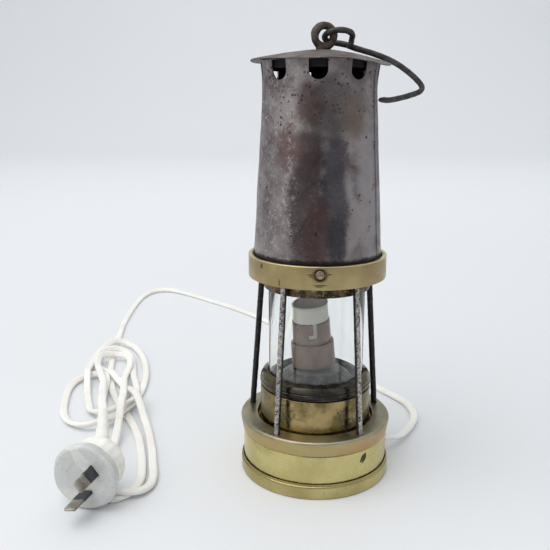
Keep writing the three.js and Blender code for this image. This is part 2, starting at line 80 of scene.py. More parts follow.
PLUNGER_OFFSET, PRESS_STROKE = 3.1, 1.5
SPRING_R, SPRING_WIRE, SPRING_TURNS, SPRING_LOW, SPRING_HIGH = 1.45, 0.3, 4, 15.1, 18.6
HOLDER_X, HOLDER_Z, HOLDER_LEAN, BARREL_R, SLOT_TURN = -0.9, 63.2, 5, 10.7, 10
LOCK_TURN, LOCK_Z = -52, 18
CORD_EXIT, CORD_EXIT_Z, CORD_HOLE = 15, 12, 3.4
CORD_W, CORD_T, CORD_STEP = 5.0, 3.0, 2.0  # the flat twin cord, and how finely its route is cut
PLUG_R, PLUG_HEADING, PLUG_ROLL = 18.1, 256.3, 248.2
PLUG_FACE = (-121.4, -52.6, 18.4)
PLUG_SPLIT, PLUG_BODY_R, PLUG_BACK = -5.6, 15, -22
RELIEF_Y, RELIEF_R, RELIEF_L = 11.5, 3.2, 26.0
PIN_W, PIN_T, PIN_L, PIN_SIDE, PIN_UP, PIN_LEAN = 6.35, 1.6, 17.06, 6.86, 3.96, 30
ALONG_X = Matrix.Rotation(math.radians(90), 4, "Y")  # lays a piece made upright along X

# Scratches on the middle ring: both ends of each, in degrees and mm from its front screw.
RING_SCRATCHES = [
    ((-8.4, 0.2), (-5.6, 0)), ((-8, -0.7), (-6, -0.9)), ((5.8, 0.1), (8.3, 0.4)),
    ((-33, -7.2), (-32.6, -3.8)), ((-4.6, -5.6), (4.4, -5.2)), ((-3, -6.1), (1.8, -6)),
]

# The lead's route: along the surface, through the loose hank, and up to the plug.
LEAD = [
    (51.3, 16.3, 7.8), (55.2, 23, 5.2), (60, 32.5, 3.3), (65, 42.5, 2.7), (69.5, 54, 2.6),
    (71, 66, 2.6), (69, 79, 2.6), (63.5, 91, 2.6), (52, 110, 2.6), (38, 135, 2.6),
    (20, 174, 2.6), (0, 217, 2.6), (-18, 251, 2.6), (-36, 281, 2.6), (-53, 304, 2.6),
    (-72, 326, 2.6), (-103, 358, 2.6), (-122, 376, 2.6), (-138, 387, 2.6), (-152, 388, 2.6),
    (-162, 379, 2.6), (-167.5, 362, 2.6), (-169.5, 338, 2.6), (-169.5, 299, 2.6),
    (-168, 262, 2.6), (-165.5, 238, 2.8),
]
HANK = [
    (-163.5, 219), (-162, 200), (-159, 180), (-156, 160), (-152, 138), (-147, 118), (-141, 99),
    (-133, 80), (-124, 62), (-115, 43), (-108, 24), (-103, 5), (-99.5, -12), (-98, -26),
    (-101, -37.5), (-109, -44), (-118, -41.5), (-124.5, -31), (-126, -17), (-128, 0),
    (-131.5, 18), (-136, 38), (-140, 58), (-144, 78), (-147, 97), (-148.5, 112), (-153, 125),
    (-162.5, 129), (-172, 120.5), (-174.5, 104), (-170, 76), (-164.5, 58), (-156, 45),
    (-145, 39), (-134, 43), (-127, 53), (-123, 68), (-121, 88), (-121, 110), (-123, 132),
    (-127.5, 154), (-134, 175), (-143, 193), (-154, 202), (-164, 199), (-170, 187), (-172, 168),
    (-170, 146), (-165.5, 122), (-160, 100), (-153, 77), (-146.5, 61), (-136, 52.5), (-126, 57),
    (-121.5, 72), (-122.5, 91), (-127, 112), (-132, 130), (-137, 152), (-142, 169), (-150, 181),
    (-160.5, 182), (-167.5, 172.5), (-167, 157), (-159.5, 142), (-149, 127), (-137, 110),
    (-126, 90), (-115, 65), (-105, 38), (-98, 12), (-93.5, -10), (-91.5, -21), (-92, -32),
    (-97.5, -40), (-107.5, -40.5), (-115, -31), (-118.5, -15), (-121, 2), (-122, 20), (-123.5, 40),
    (-126, 62), (-130, 84), (-134.5, 106), (-138, 128), (-138, 143), (-140.5, 157),
    (-148, 166.5), (-158.5, 166), (-163.5, 157), (-163, 144), (-158.5, 130), (-153, 115),
]
TAIL = [(-147.8, 99, 9.5), (-142, 74, 15.5), (-138, 58, 19), (-132.5, 36, 25.5),
        (-127, 14, 31), (-121.4, -6, 34)]


# ------------------------------------------------------------------ camera, light and floor
CAMERA_AT = (-0.0232, -0.3787, 0.2042)
CAMERA_PITCH, CAMERA_ROLL, CAMERA_LENS = 76.513, 0.1, 45.956
ROOM_WHITE = (0.86, 0.87, 0.88)
ROOM_PATCHES = (  # darker places: which way, where each starts and is full, and its shade
    ((1, -0.35, -0.1), 0.3, 0.95, (0.62, 0.63, 0.66)),
    ((0.05, -1, 0.12), 0.78, 0.97, (0.10, 0.10, 0.115)),
)
WORLD_STRENGTH = 1.0


def camera():
    data = bpy.data.cameras.new("camera")
    data.sensor_width = 36
    data.lens = CAMERA_LENS
    data.clip_end = 30
    eye = bpy.data.objects.new("camera", data)
    down = Matrix.Rotation(math.radians(CAMERA_PITCH), 4, "X")
    roll = Matrix.Rotation(math.radians(CAMERA_ROLL), 4, "Z")
    eye.matrix_world = Matrix.Translation(CAMERA_AT) @ down @ roll
    bpy.context.scene.collection.objects.link(eye)
    bpy.context.scene.camera = eye


def area_light(name, place, aim, size, power, tint=(1, 1, 1)):
    data = bpy.data.lights.new(name, "AREA")
    data.shape = "DISK"
    data.size = size
    data.energy = power
    data.color = tint
    lamp = bpy.data.objects.new(name, data)
    lamp.location = place
    lamp.rotation_euler = (Vector(aim) - Vector(place)).to_track_quat("-Z", "Y").to_euler()
    bpy.context.scene.collection.objects.link(lamp)


def world():
    """An even white room, darker where a person with a camera would stand and on the right."""
    scene = bpy.context.scene
    scene.view_settings.view_transform = "Standard"
    scene.world = bpy.data.worlds.new("studio")
    scene.world.use_nodes = True
    tree = scene.world.node_tree
    direction = tree.nodes.new("ShaderNodeTexCoord").outputs["Generated"]
    colour = None
    for aim, low, high, shade in ROOM_PATCHES:
        towards = tree.nodes.new("ShaderNodeVectorMath")
        towards.operation = "DOT_PRODUCT"
        towards.inputs[1].default_value = Vector(aim).normalized()
        tree.links.new(direction, towards.inputs[0])
        patch = tree.nodes.new("ShaderNodeMapRange")
        patch.interpolation_type = "SMOOTHSTEP"
        patch.inputs["From Min"].default_value = low
        patch.inputs["From Max"].default_value = high
        tree.links.new(towards.outputs["Value"], patch.inputs["Value"])
        mix = tree.nodes.new("ShaderNodeMix")
        mix.data_type = "RGBA"
        mix.inputs[6].default_value = (*ROOM_WHITE, 1)
        mix.inputs[7].default_value = (*shade, 1)
        tree.links.new(patch.outputs["Result"], mix.inputs[0])
        if colour:
            tree.links.new(colour, mix.inputs[6])
        colour = mix.outputs[2]
    tree.links.new(colour, tree.nodes["Background"].inputs["Color"])
    tree.nodes["Background"].inputs["Strength"].default_value = WORLD_STRENGTH


def backdrop():
    """A seamless sheet: flat under the lamp, and curved up far behind it."""
    front, flat, bend, wall, half, steps = -9, 2.6, 1.6, 3.5, 9, 24
    profile = [(front, 0), (flat, 0)]
    for i in range(1, steps + 1):
        a = math.pi / 2 * i / steps
        profile.append((flat + bend * math.sin(a), bend * (1 - math.cos(a))))
    profile.append((flat + bend, wall))
    points = [(side * half, y, z) for y, z in profile for side in (-1, 1)]
    faces = [(2 * i, 2 * i + 1, 2 * i + 3, 2 * i + 2) for i in range(len(profile) - 1)]
    mesh = bpy.data.meshes.new("backdrop")
    mesh.from_pydata(points, [], faces)
    mesh.shade_smooth()
    sheet = bpy.data.objects.new("backdrop", mesh)
    bpy.context.scene.collection.objects.link(sheet)
    paint = Paint("backdrop", roughness=0.6)
    paint.ground(paint.noise(900, detail=2), (224, 227, 230), (228, 230, 233))
    mesh.materials.append(paint.material)


# ------------------------------------------------------------------ mesh helpers, all in mm
def piece(name, mesh_data, material, body, replaces=(), sharp=35, cuts=None):
    """A mesh object that rides on a body, with its cutters taken away from it."""
    made = loose(name, *mesh_data)
    if cuts:
        carve(made, cuts)
    made.data.shade_smooth()
    made.data.set_sharp_from_angle(angle=math.radians(sharp))
    made.data.materials.clear()
    made.data.materials.append(material)
    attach(made, body)
    if replaces:
        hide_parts(*replaces)
    return made


def loose(name, points, faces):
    mesh = bpy.data.meshes.new(name)
    mesh.from_pydata([Vector(p) * MM for p in points], [], faces)
    shape = bmesh.new()
    shape.from_mesh(mesh)
    bmesh.ops.recalc_face_normals(shape, faces=shape.faces)
    shape.to_mesh(mesh)
    shape.free()
    made = bpy.data.objects.new(name, mesh)
    bpy.context.scene.collection.objects.link(made)
    return made


def carve(made, cuts):
    tool = loose("cutter", *together(*cuts))
    modifier = made.modifiers.new("cut", "BOOLEAN")
    modifier.operation = "DIFFERENCE"
    modifier.solver = "EXACT"
    modifier.use_self = True
    modifier.object = tool
    ready = made.evaluated_get(bpy.context.evaluated_depsgraph_get())
    made.data = bpy.data.meshes.new_from_object(ready)
    made.modifiers.clear()
    bpy.data.objects.remove(tool)


def together(*meshes):
    """Several points-and-faces pairs as one."""
    points, faces = [], []
    for some, more in meshes:
        faces.extend(tuple(i + len(points) for i in face) for face in more)
        points.extend(some)
    return points, faces


def moved(mesh_data, matrix):
    points, faces = mesh_data
    return [matrix @ Vector(p) for p in points], faces


def rounded(profile, radius=0.35, steps=4):
    """The profile of a closed ring with its corners rounded."""
    p = np.array(profile, float)
    out = []
    for before, corner, after in zip(np.roll(p, 1, 0), p, np.roll(p, -1, 0)):
        reach_in = min(radius, 0.42 * np.linalg.norm(before - corner))
        reach_out = min(radius, 0.42 * np.linalg.norm(after - corner))
        start = corner + (before - corner) / np.linalg.norm(before - corner) * reach_in
        end = corner + (after - corner) / np.linalg.norm(after - corner) * reach_out
        for i in range(steps):
            t = i / (steps - 1)
            out.append((1 - t) ** 2 * start + 2 * t * (1 - t) * corner + t**2 * end)
    return out


def dense(profile, step):
    """A closed profile with no edge longer than step."""
    out = []
    for a, b in zip(profile, np.roll(np.array(profile), -1, 0)):
        parts = max(1, math.ceil(np.linalg.norm(b - np.array(a)) / step))
        out.extend(np.array(a) + (b - np.array(a)) * i / parts for i in range(parts))
    return out


def turned(profile, segments=144, shape=None):
    """A ring turned from a closed profile of (radius, height); shape moves its (angle, r, z)."""
    r, z = np.array(profile, float).T
    angle = np.linspace(0, 2 * math.pi, segments, endpoint=False)
    angle, r, z = np.broadcast_arrays(angle[:, None], r[None, :], z[None, :])
    if shape:
        r, z = shape(angle, r, z)
    points = np.stack([r * np.cos(angle), r * np.sin(angle), z], axis=2).reshape(-1, 3)
    count = len(profile)
    faces = [(i * count + j, i * count + (j + 1) % count,
              (i + 1) % segments * count + (j + 1) % count, (i + 1) % segments * count + j)
             for i in range(segments) for j in range(count)]
    return points, faces


def skin(count, rings):
    """Faces of a tube of rings, each of count points, with both ends closed."""
    faces = [(i * count + j, i * count + (j + 1) % count, (i + 1) * count + (j + 1) % count,
              (i + 1) * count + j) for i in range(rings - 1) for j in range(count)]
    faces.append(tuple(range(count)))
    faces.append(tuple((rings - 1) * count + j for j in range(count)))
    return faces


def wire(line, radii, sides=20):
    """A round wire along a line, with a radius for each of its points."""
    line = np.array([tuple(p) for p in line], float)
    ahead = np.gradient(line, axis=0)
    ahead /= np.linalg.norm(ahead, axis=1)[:, None]
    side = np.cross(ahead[0], (0.31, 0.87, 0.38))
    turn = np.linspace(0, 2 * math.pi, sides, endpoint=False)[:, None]
    points = []
    for p, t, r in zip(line, ahead, np.broadcast_to(radii, len(line))):
        side = side - t * side.dot(t)
        side /= np.linalg.norm(side)
        points.extend(p + r * (np.cos(turn) * side + np.sin(turn) * np.cross(t, side)))
    return points, skin(sides, len(line))


def rod(start, end, radius, sides=32):
    """A round bar with softly broken edges."""
    start, end = np.array(start, float), np.array(end, float)
    length = np.linalg.norm(end - start)
    soft = min(0.25, radius / 3, length / 3)
    at = [0, soft * 0.3, soft, length - soft, length - soft * 0.3, length]
    radii = [radius - soft, radius - soft * 0.3, radius, radius, radius - soft * 0.3, radius - soft]
    return wire([start + (end - start) * a / length for a in at], radii, sides)


def block(w, d, h):
    """A box centred on the origin."""
    corners = [(x * w / 2, y * d / 2, z * h / 2) for x in (-1, 1) for y in (-1, 1) for z in (-1, 1)]
    return corners, [(0, 1, 3, 2), (4, 6, 7, 5), (0, 4, 5, 1), (2, 3, 7, 6), (0, 2, 6, 4), (1, 5, 7, 3)]


def spread(first, count):
    """Turns of several things spaced evenly all round, in degrees."""
    return [first + 360 / count * i for i in range(count)]


def polar(r, degrees, z):
    return (r * math.cos(math.radians(degrees)), r * math.sin(math.radians(degrees)), z)


def spun(mesh_data, degrees, z=0):
    """Turned about Z, and raised."""
    turn = Matrix.Translation((0, 0, z)) @ Matrix.Rotation(math.radians(degrees), 4, "Z")
    return moved(mesh_data, turn)


def smooth_line(points, step):
    """Evenly spaced points on a smooth curve through the given ones."""
    p = np.array([tuple(q) for q in points], float)
    p = np.vstack([2 * p[0] - p[1], p, 2 * p[-1] - p[-2]])
    fine = []
    for i in range(1, len(p) - 2):
        a, b, c, d = p[i - 1:i + 3]
        t = np.linspace(0, 1, 24, endpoint=False)[:, None]
        m1, m2 = (c - a) / 2, (d - b) / 2
        fine.append((2 * t**3 - 3 * t**2 + 1) * b + (t**3 - 2 * t**2 + t) * m1
                    + (3 * t**2 - 2 * t**3) * c + (t**3 - t**2) * m2)
    fine = np.vstack([*fine, p[-2:-1]])
    along = np.concatenate([[0], np.cumsum(np.linalg.norm(np.diff(fine, axis=0), axis=1))])
    at = np.linspace(0, along[-1], max(2, round(along[-1] / step) + 1))
    return np.stack([np.interp(at, along, fine[:, k]) for k in range(p.shape[1])], axis=1)


def uneven(points, size, depth):
    """Points pushed about by a soft noise, as on worn or hand-forged metal."""
    return [Vector(p) + noise.noise_vector(Vector(p) / size) * depth for p in points]


# ------------------------------------------------------------------ materials
def tone(red, green, blue):
    """A colour as the eye reads it, 0 to 255, in linear light."""
    return tuple(((c / 255 + 0.055) / 1.055) ** 2.4 for c in (red, green, blue))


class Paint:
    """One procedural material. Sizes and places are in mm, and colours are as the eye reads them."""

    def __init__(self, name, roughness=0.5, metallic=0.0, **sockets):
        self.material = bpy.data.materials.new(name)
        self.material.use_nodes = True
        self.tree = self.material.node_tree
        self.shader = self.tree.nodes["Principled BSDF"]
        self.shader.inputs["Metallic"].default_value = metallic
        self.shader.inputs["Roughness"].default_value = roughness
        for socket, value in sockets.items():
            self.shader.inputs[socket.replace("_", " ")].default_value = value
        coordinates = self.tree.nodes.new("ShaderNodeTexCoord")
        self.normal = coordinates.outputs["Normal"]
        self.place = self.vector("SCALE", coordinates.outputs["Object"], scale=1 / MM)
        apart = self.tree.nodes.new("ShaderNodeSeparateXYZ")
        self.tree.links.new(self.place, apart.inputs[0])
        self.x, self.y, self.z = apart.outputs
        self.colour = None
        self.bumps = None

    def put(self, socket, value):
        if isinstance(value, bpy.types.NodeSocket):
            self.tree.links.new(value, socket)
        elif socket.type == "RGBA":
            socket.default_value = (*tone(*value), 1)
        else:
            socket.default_value = value

    def vector(self, operation, a, b=None, scale=None):
        node = self.tree.nodes.new("ShaderNodeVectorMath")
        node.operation = operation
        self.put(node.inputs[0], a)
        if b is not None:
            self.put(node.inputs[1], b)
        if scale is not None:
            node.inputs["Scale"].default_value = scale
        return node.outputs["Value" if operation in ("DOT_PRODUCT", "LENGTH") else "Vector"]

    def calc(self, operation, a, b=0.0):
        node = self.tree.nodes.new("ShaderNodeMath")
        node.operation = operation
        self.put(node.inputs[0], a)
        self.put(node.inputs[1], b)
        return node.outputs[0]

    def times(self, a, b):
        return self.calc("MULTIPLY", a, b)

    def most(self, a, b):
        return self.calc("MAXIMUM", a, b)

    def level(self, value, low, high, to_low=0.0, to_high=1.0):
        """0 below low, 1 above high, and smooth between them."""
        node = self.tree.nodes.new("ShaderNodeMapRange")
        node.interpolation_type = "SMOOTHSTEP"
        for name, number in zip(("From Min", "From Max", "To Min", "To Max"),
                                (low, high, to_low, to_high)):
            node.inputs[name].default_value = number
        self.put(node.inputs["Value"], value)
        return node.outputs["Result"]

    def blend(self, factor, a, b):
        node = self.tree.nodes.new("ShaderNodeMix")
        node.data_type = "RGBA"
        for index, value in ((0, factor), (6, a), (7, b)):
            self.put(node.inputs[index], value)
        return node.outputs[2]

    def noise(self, size, detail=4, rough=0.6, stretch=(1, 1, 1), offset=0.0):
        scaled = self.vector("MULTIPLY", self.place, tuple(s / size for s in stretch))
        shifted = self.vector("ADD", scaled, (offset, offset * 0.7, offset * 1.3))
        node = self.tree.nodes.new("ShaderNodeTexNoise")
        self.put(node.inputs["Vector"], shifted)
        node.inputs["Scale"].default_value = 1
        node.inputs["Detail"].default_value = detail
        node.inputs["Roughness"].default_value = rough
        return node.outputs[0]

    def cloud(self, low, high, size, **settings):
        """Soft patches: 0 where the noise is below low, and 1 where it is above high."""
        return self.level(self.noise(size, **settings), low, high)

    def cells(self, size, offset=0.0):
        """The distance and colour outputs of a pattern of cells."""
        scaled = self.vector("SCALE", self.place, scale=1 / size)
        node = self.tree.nodes.new("ShaderNodeTexVoronoi")
        self.put(node.inputs["Vector"], self.vector("ADD", scaled, (offset, offset, offset)))
        node.inputs["Scale"].default_value = 1
        return node.outputs["Distance"], node.outputs["Color"]

    def pits(self, spacing, small, large, offset=0.0):
        """Scattered round spots, 1 in their middles, of uneven size."""
        distance, _ = self.cells(spacing, offset)
        size = self.level(self.noise(spacing * 2.3, detail=1, offset=offset + 3), 0.35, 0.7, small, large)
        return self.level(self.calc("DIVIDE", distance, size), 0.75, 1.1, 1, 0)

    def patch(self, place, reach, ragged=0.4, size=6):
        """1 inside a ragged blot round a place, with a reach along X, Y and Z."""
        offset = self.vector("SUBTRACT", self.place, place)
        away = self.vector("LENGTH", self.vector("DIVIDE", offset, reach))
        edge = self.times(self.calc("SUBTRACT", self.noise(size), 0.5), ragged * 2)
        return self.level(self.calc("ADD", away, edge), 0.6, 1.15, 1, 0)

    def around(self):
        """Degrees round from +X."""
        return self.times(self.calc("ARCTAN2", self.y, self.x), 180 / math.pi)

    def apart(self, value, middle):
        """How far value is from middle."""
        return self.calc("ABSOLUTE", self.calc("SUBTRACT", value, middle))

    def from_axis(self):
        return self.vector("LENGTH", self.vector("MULTIPLY", self.place, (1, 1, 0)))

    def outward(self):
        """1 where the surface faces away from the lamp's axis, and -1 where it faces the axis."""
        flat = self.vector("MULTIPLY", self.place, (1, 1, 0))
        return self.vector("DOT_PRODUCT", self.vector("NORMALIZE", flat), self.normal)

    def ground(self, mask, dark, light):
        """The first colour: dark where mask is 0, and light where it is 1."""
        self.colour = self.blend(mask, dark, light)
        self.put(self.shader.inputs["Base Color"], self.colour)

    def stain(self, mask, colour, strength=None):
        """Lays a colour over what is there, as far as mask and strength say."""
        if strength is not None:
            mask = self.times(mask, strength)
        self.ground(mask, self.colour, colour)

    def gloss(self, value, low, high):
        """Roughness from low to high as value goes from 0 to 1."""
        self.put(self.shader.inputs["Roughness"], self.level(value, 0.25, 0.75, low, high))

    def relief(self, height, depth):
        node = self.tree.nodes.new("ShaderNodeBump")
        node.inputs["Distance"].default_value = depth * MM
        self.put(node.inputs["Height"], height)
        if self.bumps:
            self.put(node.inputs["Normal"], self.bumps)
        self.bumps = node.outputs["Normal"]
        self.put(self.shader.inputs["Normal"], self.bumps)


def worn(name, light, dark, size=8, metallic=0.0, rough=(0.35, 0.6), bump=0.04, pit=None, **sockets):
    """A mottled material, with pits of colour pit where one is given."""
    paint = Paint(name, metallic=metallic, **sockets)
    paint.ground(paint.cloud(0.3, 0.7, size, detail=5), dark, light)
    if pit:
        crowded = paint.cloud(0.5, 0.5, size * 1.5, offset=5)
        spots = paint.times(paint.pits(size * 0.22, 0.1, 0.42), crowded)
        paint.stain(spots, pit)
        paint.relief(spots, -bump * 2)
    paint.gloss(paint.noise(size * 0.6, offset=9), *rough)
    paint.relief(paint.noise(size * 0.12, detail=3, offset=2), bump)
    return paint.material


def brass(name, light, dark, ruddy, grime, rough=(0.2, 0.36)):
    """Old turned brass: fine lathe lines, a cloudy tarnish, reddish patches and dark specks."""
    paint = Paint(name, metallic=1)
    paint.ground(paint.cloud(0.35, 0.65, 26, detail=5, rough=0.55), dark, light)
    paint.stain(paint.cloud(0.56, 0.74, 17, detail=3, stretch=(1, 1, 1.8), offset=7), ruddy, 0.75)
    lines = paint.noise(1.1, detail=3, stretch=(0.03, 0.03, 1), offset=1)
    paint.stain(paint.level(lines, 0.5, 0.85, 0, 0.22), dark)
    specks = paint.times(paint.pits(3.1, 0.02, 0.16), paint.cloud(0.5, 0.62, 9, offset=4))
    paint.stain(specks, grime, 0.8)
    paint.gloss(paint.noise(7, detail=5, offset=3), *rough)
    paint.relief(lines, 0.012)
    paint.relief(paint.noise(3.5, offset=6), 0.05)
    paint.relief(specks, -0.05)
    return paint


def fount_brass():
    """Pale at the lamp's foot, and olive with verdigris at its neck, with painted shade on the neck's
    sides and a band of dirt and painted shadow above the foot.
    """
    paint = brass("fount brass", (204, 193, 134), (186, 174, 118), (196, 168, 124), (74, 62, 40))
    neck = paint.level(paint.z, FOUNT_TOP + 4, FOUNT_TOP + 9)
    paint.stain(neck, paint.blend(paint.cloud(0.36, 0.6, 13, offset=11), (112, 99, 62), (166, 146, 102)))
    # Painted shade: the neck darkens towards its sides as seen from the front.
    from_front = paint.apart(paint.around(), FRONT)
    paint.stain(paint.times(paint.level(from_front, 22, 62), neck), (96, 90, 62), 0.6)
    for azimuth, height, wide in VERDIGRIS:
        blot = paint.patch(polar(NECK_R, azimuth, height), (wide, wide, 4.5), 0.7, 3)
        paint.stain(paint.times(blot, paint.cloud(0.42, 0.6, 1.6, offset=8)), (78, 80, 66), 0.85)
    # Painted shadow in the join above the foot ring, mixed with real dirt: a dark band, stronger at the
    # front.
    lighter = paint.level(paint.calc("ADD", paint.z, paint.times(paint.noise(5), 1.6)),
                        FOOT_TOP + 1.7, FOOT_TOP + 3)
    ragged = paint.cloud(0.5, 0.6, 9, stretch=(1, 1, 0.2), offset=13)
    shade_and_dirt = paint.times(paint.calc("SUBTRACT", 1, lighter), ragged)
    paint.stain(paint.times(shade_and_dirt, paint.level(from_front, 20, 50, 1, 0.35)), (52, 44, 26))
    return paint.material


def foot_brass():
    paint = brass("foot brass", (196, 184, 130), (170, 157, 108), (186, 156, 112), (70, 60, 38))
    paint.stain(paint.level(paint.z, FOOT_TOP - 1.4, FOOT_TOP - 0.5), (120, 104, 62), 0.45)
    return paint.material


def lower_ring_brass():
    """Dull on its top, and reddish and rubbed at its side."""
    paint = brass("lower ring brass", (176, 170, 146), (142, 137, 112), (176, 140, 104), (58, 52, 38),
                  rough=(0.3, 0.5))
    rubbed = paint.blend(paint.cloud(0.4, 0.6, 12, detail=3, offset=21), (176, 162, 114), (184, 154, 112))
    paint.stain(paint.level(paint.z, LOWER_RING_TOP - 0.9, LOWER_RING_TOP - 2.2), rubbed)
    return paint.material


def middle_ring_brass():
    """Painted highlight at its top edge, painted shade in its recess, and dark marks along its scratches
    and round the front screw.
    """
    paint = brass("middle ring brass", (172, 156, 114), (150, 132, 94), (172, 134, 98), (56, 48, 34),
                  rough=(0.24, 0.42))
    # Painted highlight along the ring's top edge.
    paint.stain(paint.level(paint.z, MID_RING_TOP - 0.8, MID_RING_TOP - 0.2), (206, 196, 140))
    # Painted shade in the recess where the bonnet stands, with darker marks round the front screw and
    # along the scratches.
    recess = paint.level(paint.from_axis(), MID_RING_R - 2.2, MID_RING_R - 1.2, 1, 0)
    screw = paint.patch(polar(MID_RING_R, SCREW_FIRST, SCREW_Z), (4.8, 4, 4), 0.1, 2)
    shade_and_dirt = paint.most(recess, screw)
    for azimuth, height, wide, tall in RING_STAINS:
        place = polar(MID_RING_R, SCREW_FIRST + azimuth, SCREW_Z + height)
        shade_and_dirt = paint.most(shade_and_dirt, paint.patch(place, (wide, 2, tall), 0.15, 1.5))
    paint.stain(shade_and_dirt, (66, 52, 34), 0.75)
    return paint.material


def bonnet_steel():
    """Old sheet steel: heat and rust have left it grey, purple-brown and blue-black in patches."""
    paint = Paint("bonnet steel", metallic=0.85)
    paint.ground(paint.cloud(0.36, 0.64, 21, detail=6, rough=0.62), (104, 96, 96), (146, 139, 138))
    for azimuth, height, wide, tall, shade in BONNET_PATCHES:
        paint.stain(paint.patch(polar(33, azimuth, height), (wide, wide, tall), 0.55, 11), shade, 0.8)
    speckle = paint.noise(2.2, detail=5, rough=0.75, offset=3)
    left = paint.level(paint.around(), -107, -122)
    pale = paint.times(paint.level(speckle, 0.52, 0.66), paint.most(left, 0.12))
    paint.stain(pale, (186, 180, 176), 0.62)
    paint.stain(paint.cloud(0.55, 0.68, 9, detail=6, rough=0.7, offset=15), (88, 66, 60), 0.55)
    upper = paint.times(paint.level(paint.z, 188, 206), 0.8)
    crowded = paint.most(paint.cloud(0.5, 0.64, 16, offset=5), upper)
    pits = paint.times(paint.pits(2.1, 0.06, 0.4), crowded)
    pits = paint.most(pits, paint.pits(7.5, 0.01, 0.13, offset=31))
    paint.stain(pits, (46, 36, 36), 0.85)
    ragged_z = paint.calc("ADD", paint.z, paint.times(paint.noise(3), 3))
    paint.stain(paint.level(ragged_z, MID_RING_TOP + 2.6, MID_RING_TOP + 4.4, 1, 0), (34, 28, 30), 0.9)
    paint.stain(paint.level(paint.apart(paint.around(), SEAM), 0.3, 1.1, 1, 0), (58, 50, 50), 0.6)
    paint.stain(paint.level(paint.outward(), -0.2, -0.6), (14, 12, 12))
    paint.gloss(paint.noise(6, detail=5, offset=9), 0.34, 0.62)
    paint.relief(speckle, 0.07)
    paint.relief(pits, -0.12)
    return paint.material


def crown_steel():
    """Brown with rust towards its middle, and darker underneath as painted shade."""
    paint = Paint("crown steel", metallic=0.75)
    paint.ground(paint.cloud(0.36, 0.64, 9, detail=6, rough=0.65), (88, 80, 75), (122, 117, 113))
    middle = paint.level(paint.from_axis(), 12, 34, 1, 0.25)
    paint.stain(paint.times(paint.cloud(0.44, 0.62, 15, offset=12), middle), (112, 82, 60))
    # Painted shade on the faces that look down.
    under = paint.level(paint.vector("DOT_PRODUCT", paint.normal, (0, 0, 1)), -0.3, -0.8)
    paint.stain(under, (58, 50, 46), 0.6)
    spots = paint.times(paint.pits(1.7, 0.05, 0.4), paint.cloud(0.45, 0.6, 8))
    paint.stain(spots, (62, 48, 42), 0.8)
    paint.gloss(paint.noise(4, offset=6), 0.36, 0.62)
    paint.relief(paint.noise(1.1), 0.06)
    paint.relief(spots, -0.06)
    return paint.material


def pillar_steel(number, pale):
    """Rusted and cleaned on the side that faces out, and black on the side that faces in, partly its own
    colour and partly painted shade; pale sets how much of the outer colour shows.
    """
    paint = Paint(f"pillar steel {number}", metallic=0.55)
    outside = paint.level(paint.outward(), 0.4, 0.85)
    grain = paint.noise(1.5, detail=6, rough=0.8)
    lighter = paint.blend(paint.level(grain, 0.36, 0.62), (104, 98, 96), (206, 200, 197))
    paint.ground(paint.level(grain, 0.5, 0.72), (40, 38, 38), (92, 90, 88))
    # Where the outer colour is held back, the dark inner colour stands partly for painted shade.
    paint.stain(outside, lighter, pale)
    spots = paint.pits(1.15, 0.1, 0.62)
    paint.stain(spots, (32, 29, 29), 0.8)
    paint.gloss(paint.noise(2, offset=6), 0.4, 0.65)
    paint.relief(grain, 0.12)
    paint.relief(spots, -0.14)
    return paint.material


def glass_paint():
    """Clear, with a film of dust, a few specks and faint wiping marks."""
    paint = Paint("lamp glass", roughness=0.03, IOR=1.45, Transmission_Weight=1)
    paint.ground(paint.pits(9, 0.01, 0.055, offset=2), (251.6, 253.3, 252.7), (70, 66, 60))
    paint.gloss(paint.noise(18, detail=5, stretch=(1, 1, 0.4)), 0.01, 0.07)
    paint.relief(paint.noise(30, detail=1), 0.02)
    return paint.material


def plug_clear():
    """Cloudy clear moulding with broad flats cut in it, each flat painted a slightly different grey as
    painted shading.
    """
    paint = Paint("plug face", Transmission_Weight=0.18, IOR=1.49)
    # Painted shading: each cell of the pattern gets its own grey, as flats catching the light differently.
    distance, shade = paint.cells(11)
    paint.ground(paint.level(shade, 0.1, 0.9), (212, 215, 212), (232, 232, 228))
    paint.gloss(paint.noise(12), 0.2, 0.36)
    paint.relief(distance, 0.08)
    return paint.material


def gauze_wire():
    """Woven wire, seen as a fine grid of crossing strands, with painted shade in the gaps between them."""
    paint = Paint("gauze", metallic=0.7)
    strands = []
    for direction in ((1, 1, 0), (0, 0, 1)):
        along = paint.vector("DOT_PRODUCT", paint.place, direction)
        strands.append(paint.calc("ABSOLUTE", paint.calc("SINE", paint.times(along, 7))))
    mesh = paint.most(*strands)
    # The gaps between the strands are painted near black, as painted shade seen through the weave.
    paint.ground(paint.level(mesh, 0.4, 0.95), (18, 16, 16), (88, 84, 80))
    paint.stain(paint.cloud(0.45, 0.65, 12), (40, 33, 30))
    paint.gloss(paint.noise(2), 0.45, 0.7)
    paint.relief(mesh, 0.1)
    return paint.material


def dome_paint():
    """Grey and dusty, paler at its upper rim."""
    paint = Paint("burner dome", metallic=0.2)
    mottle = paint.noise(7, detail=5, rough=0.7)
    paint.ground(paint.level(mottle, 0.4, 0.65), (68, 68, 70), (118, 116, 111))
    paint.stain(paint.level(paint.z, 60.6, 61.3), (150, 148, 142), 0.5)
    dust = paint.times(paint.pits(2.4, 0.02, 0.24), paint.cloud(0.45, 0.6, 6, offset=4))
    paint.stain(dust, (160, 158, 150))
    paint.gloss(paint.noise(3, offset=5), 0.3, 0.6)
    paint.relief(mottle, 0.08)
    return paint.material


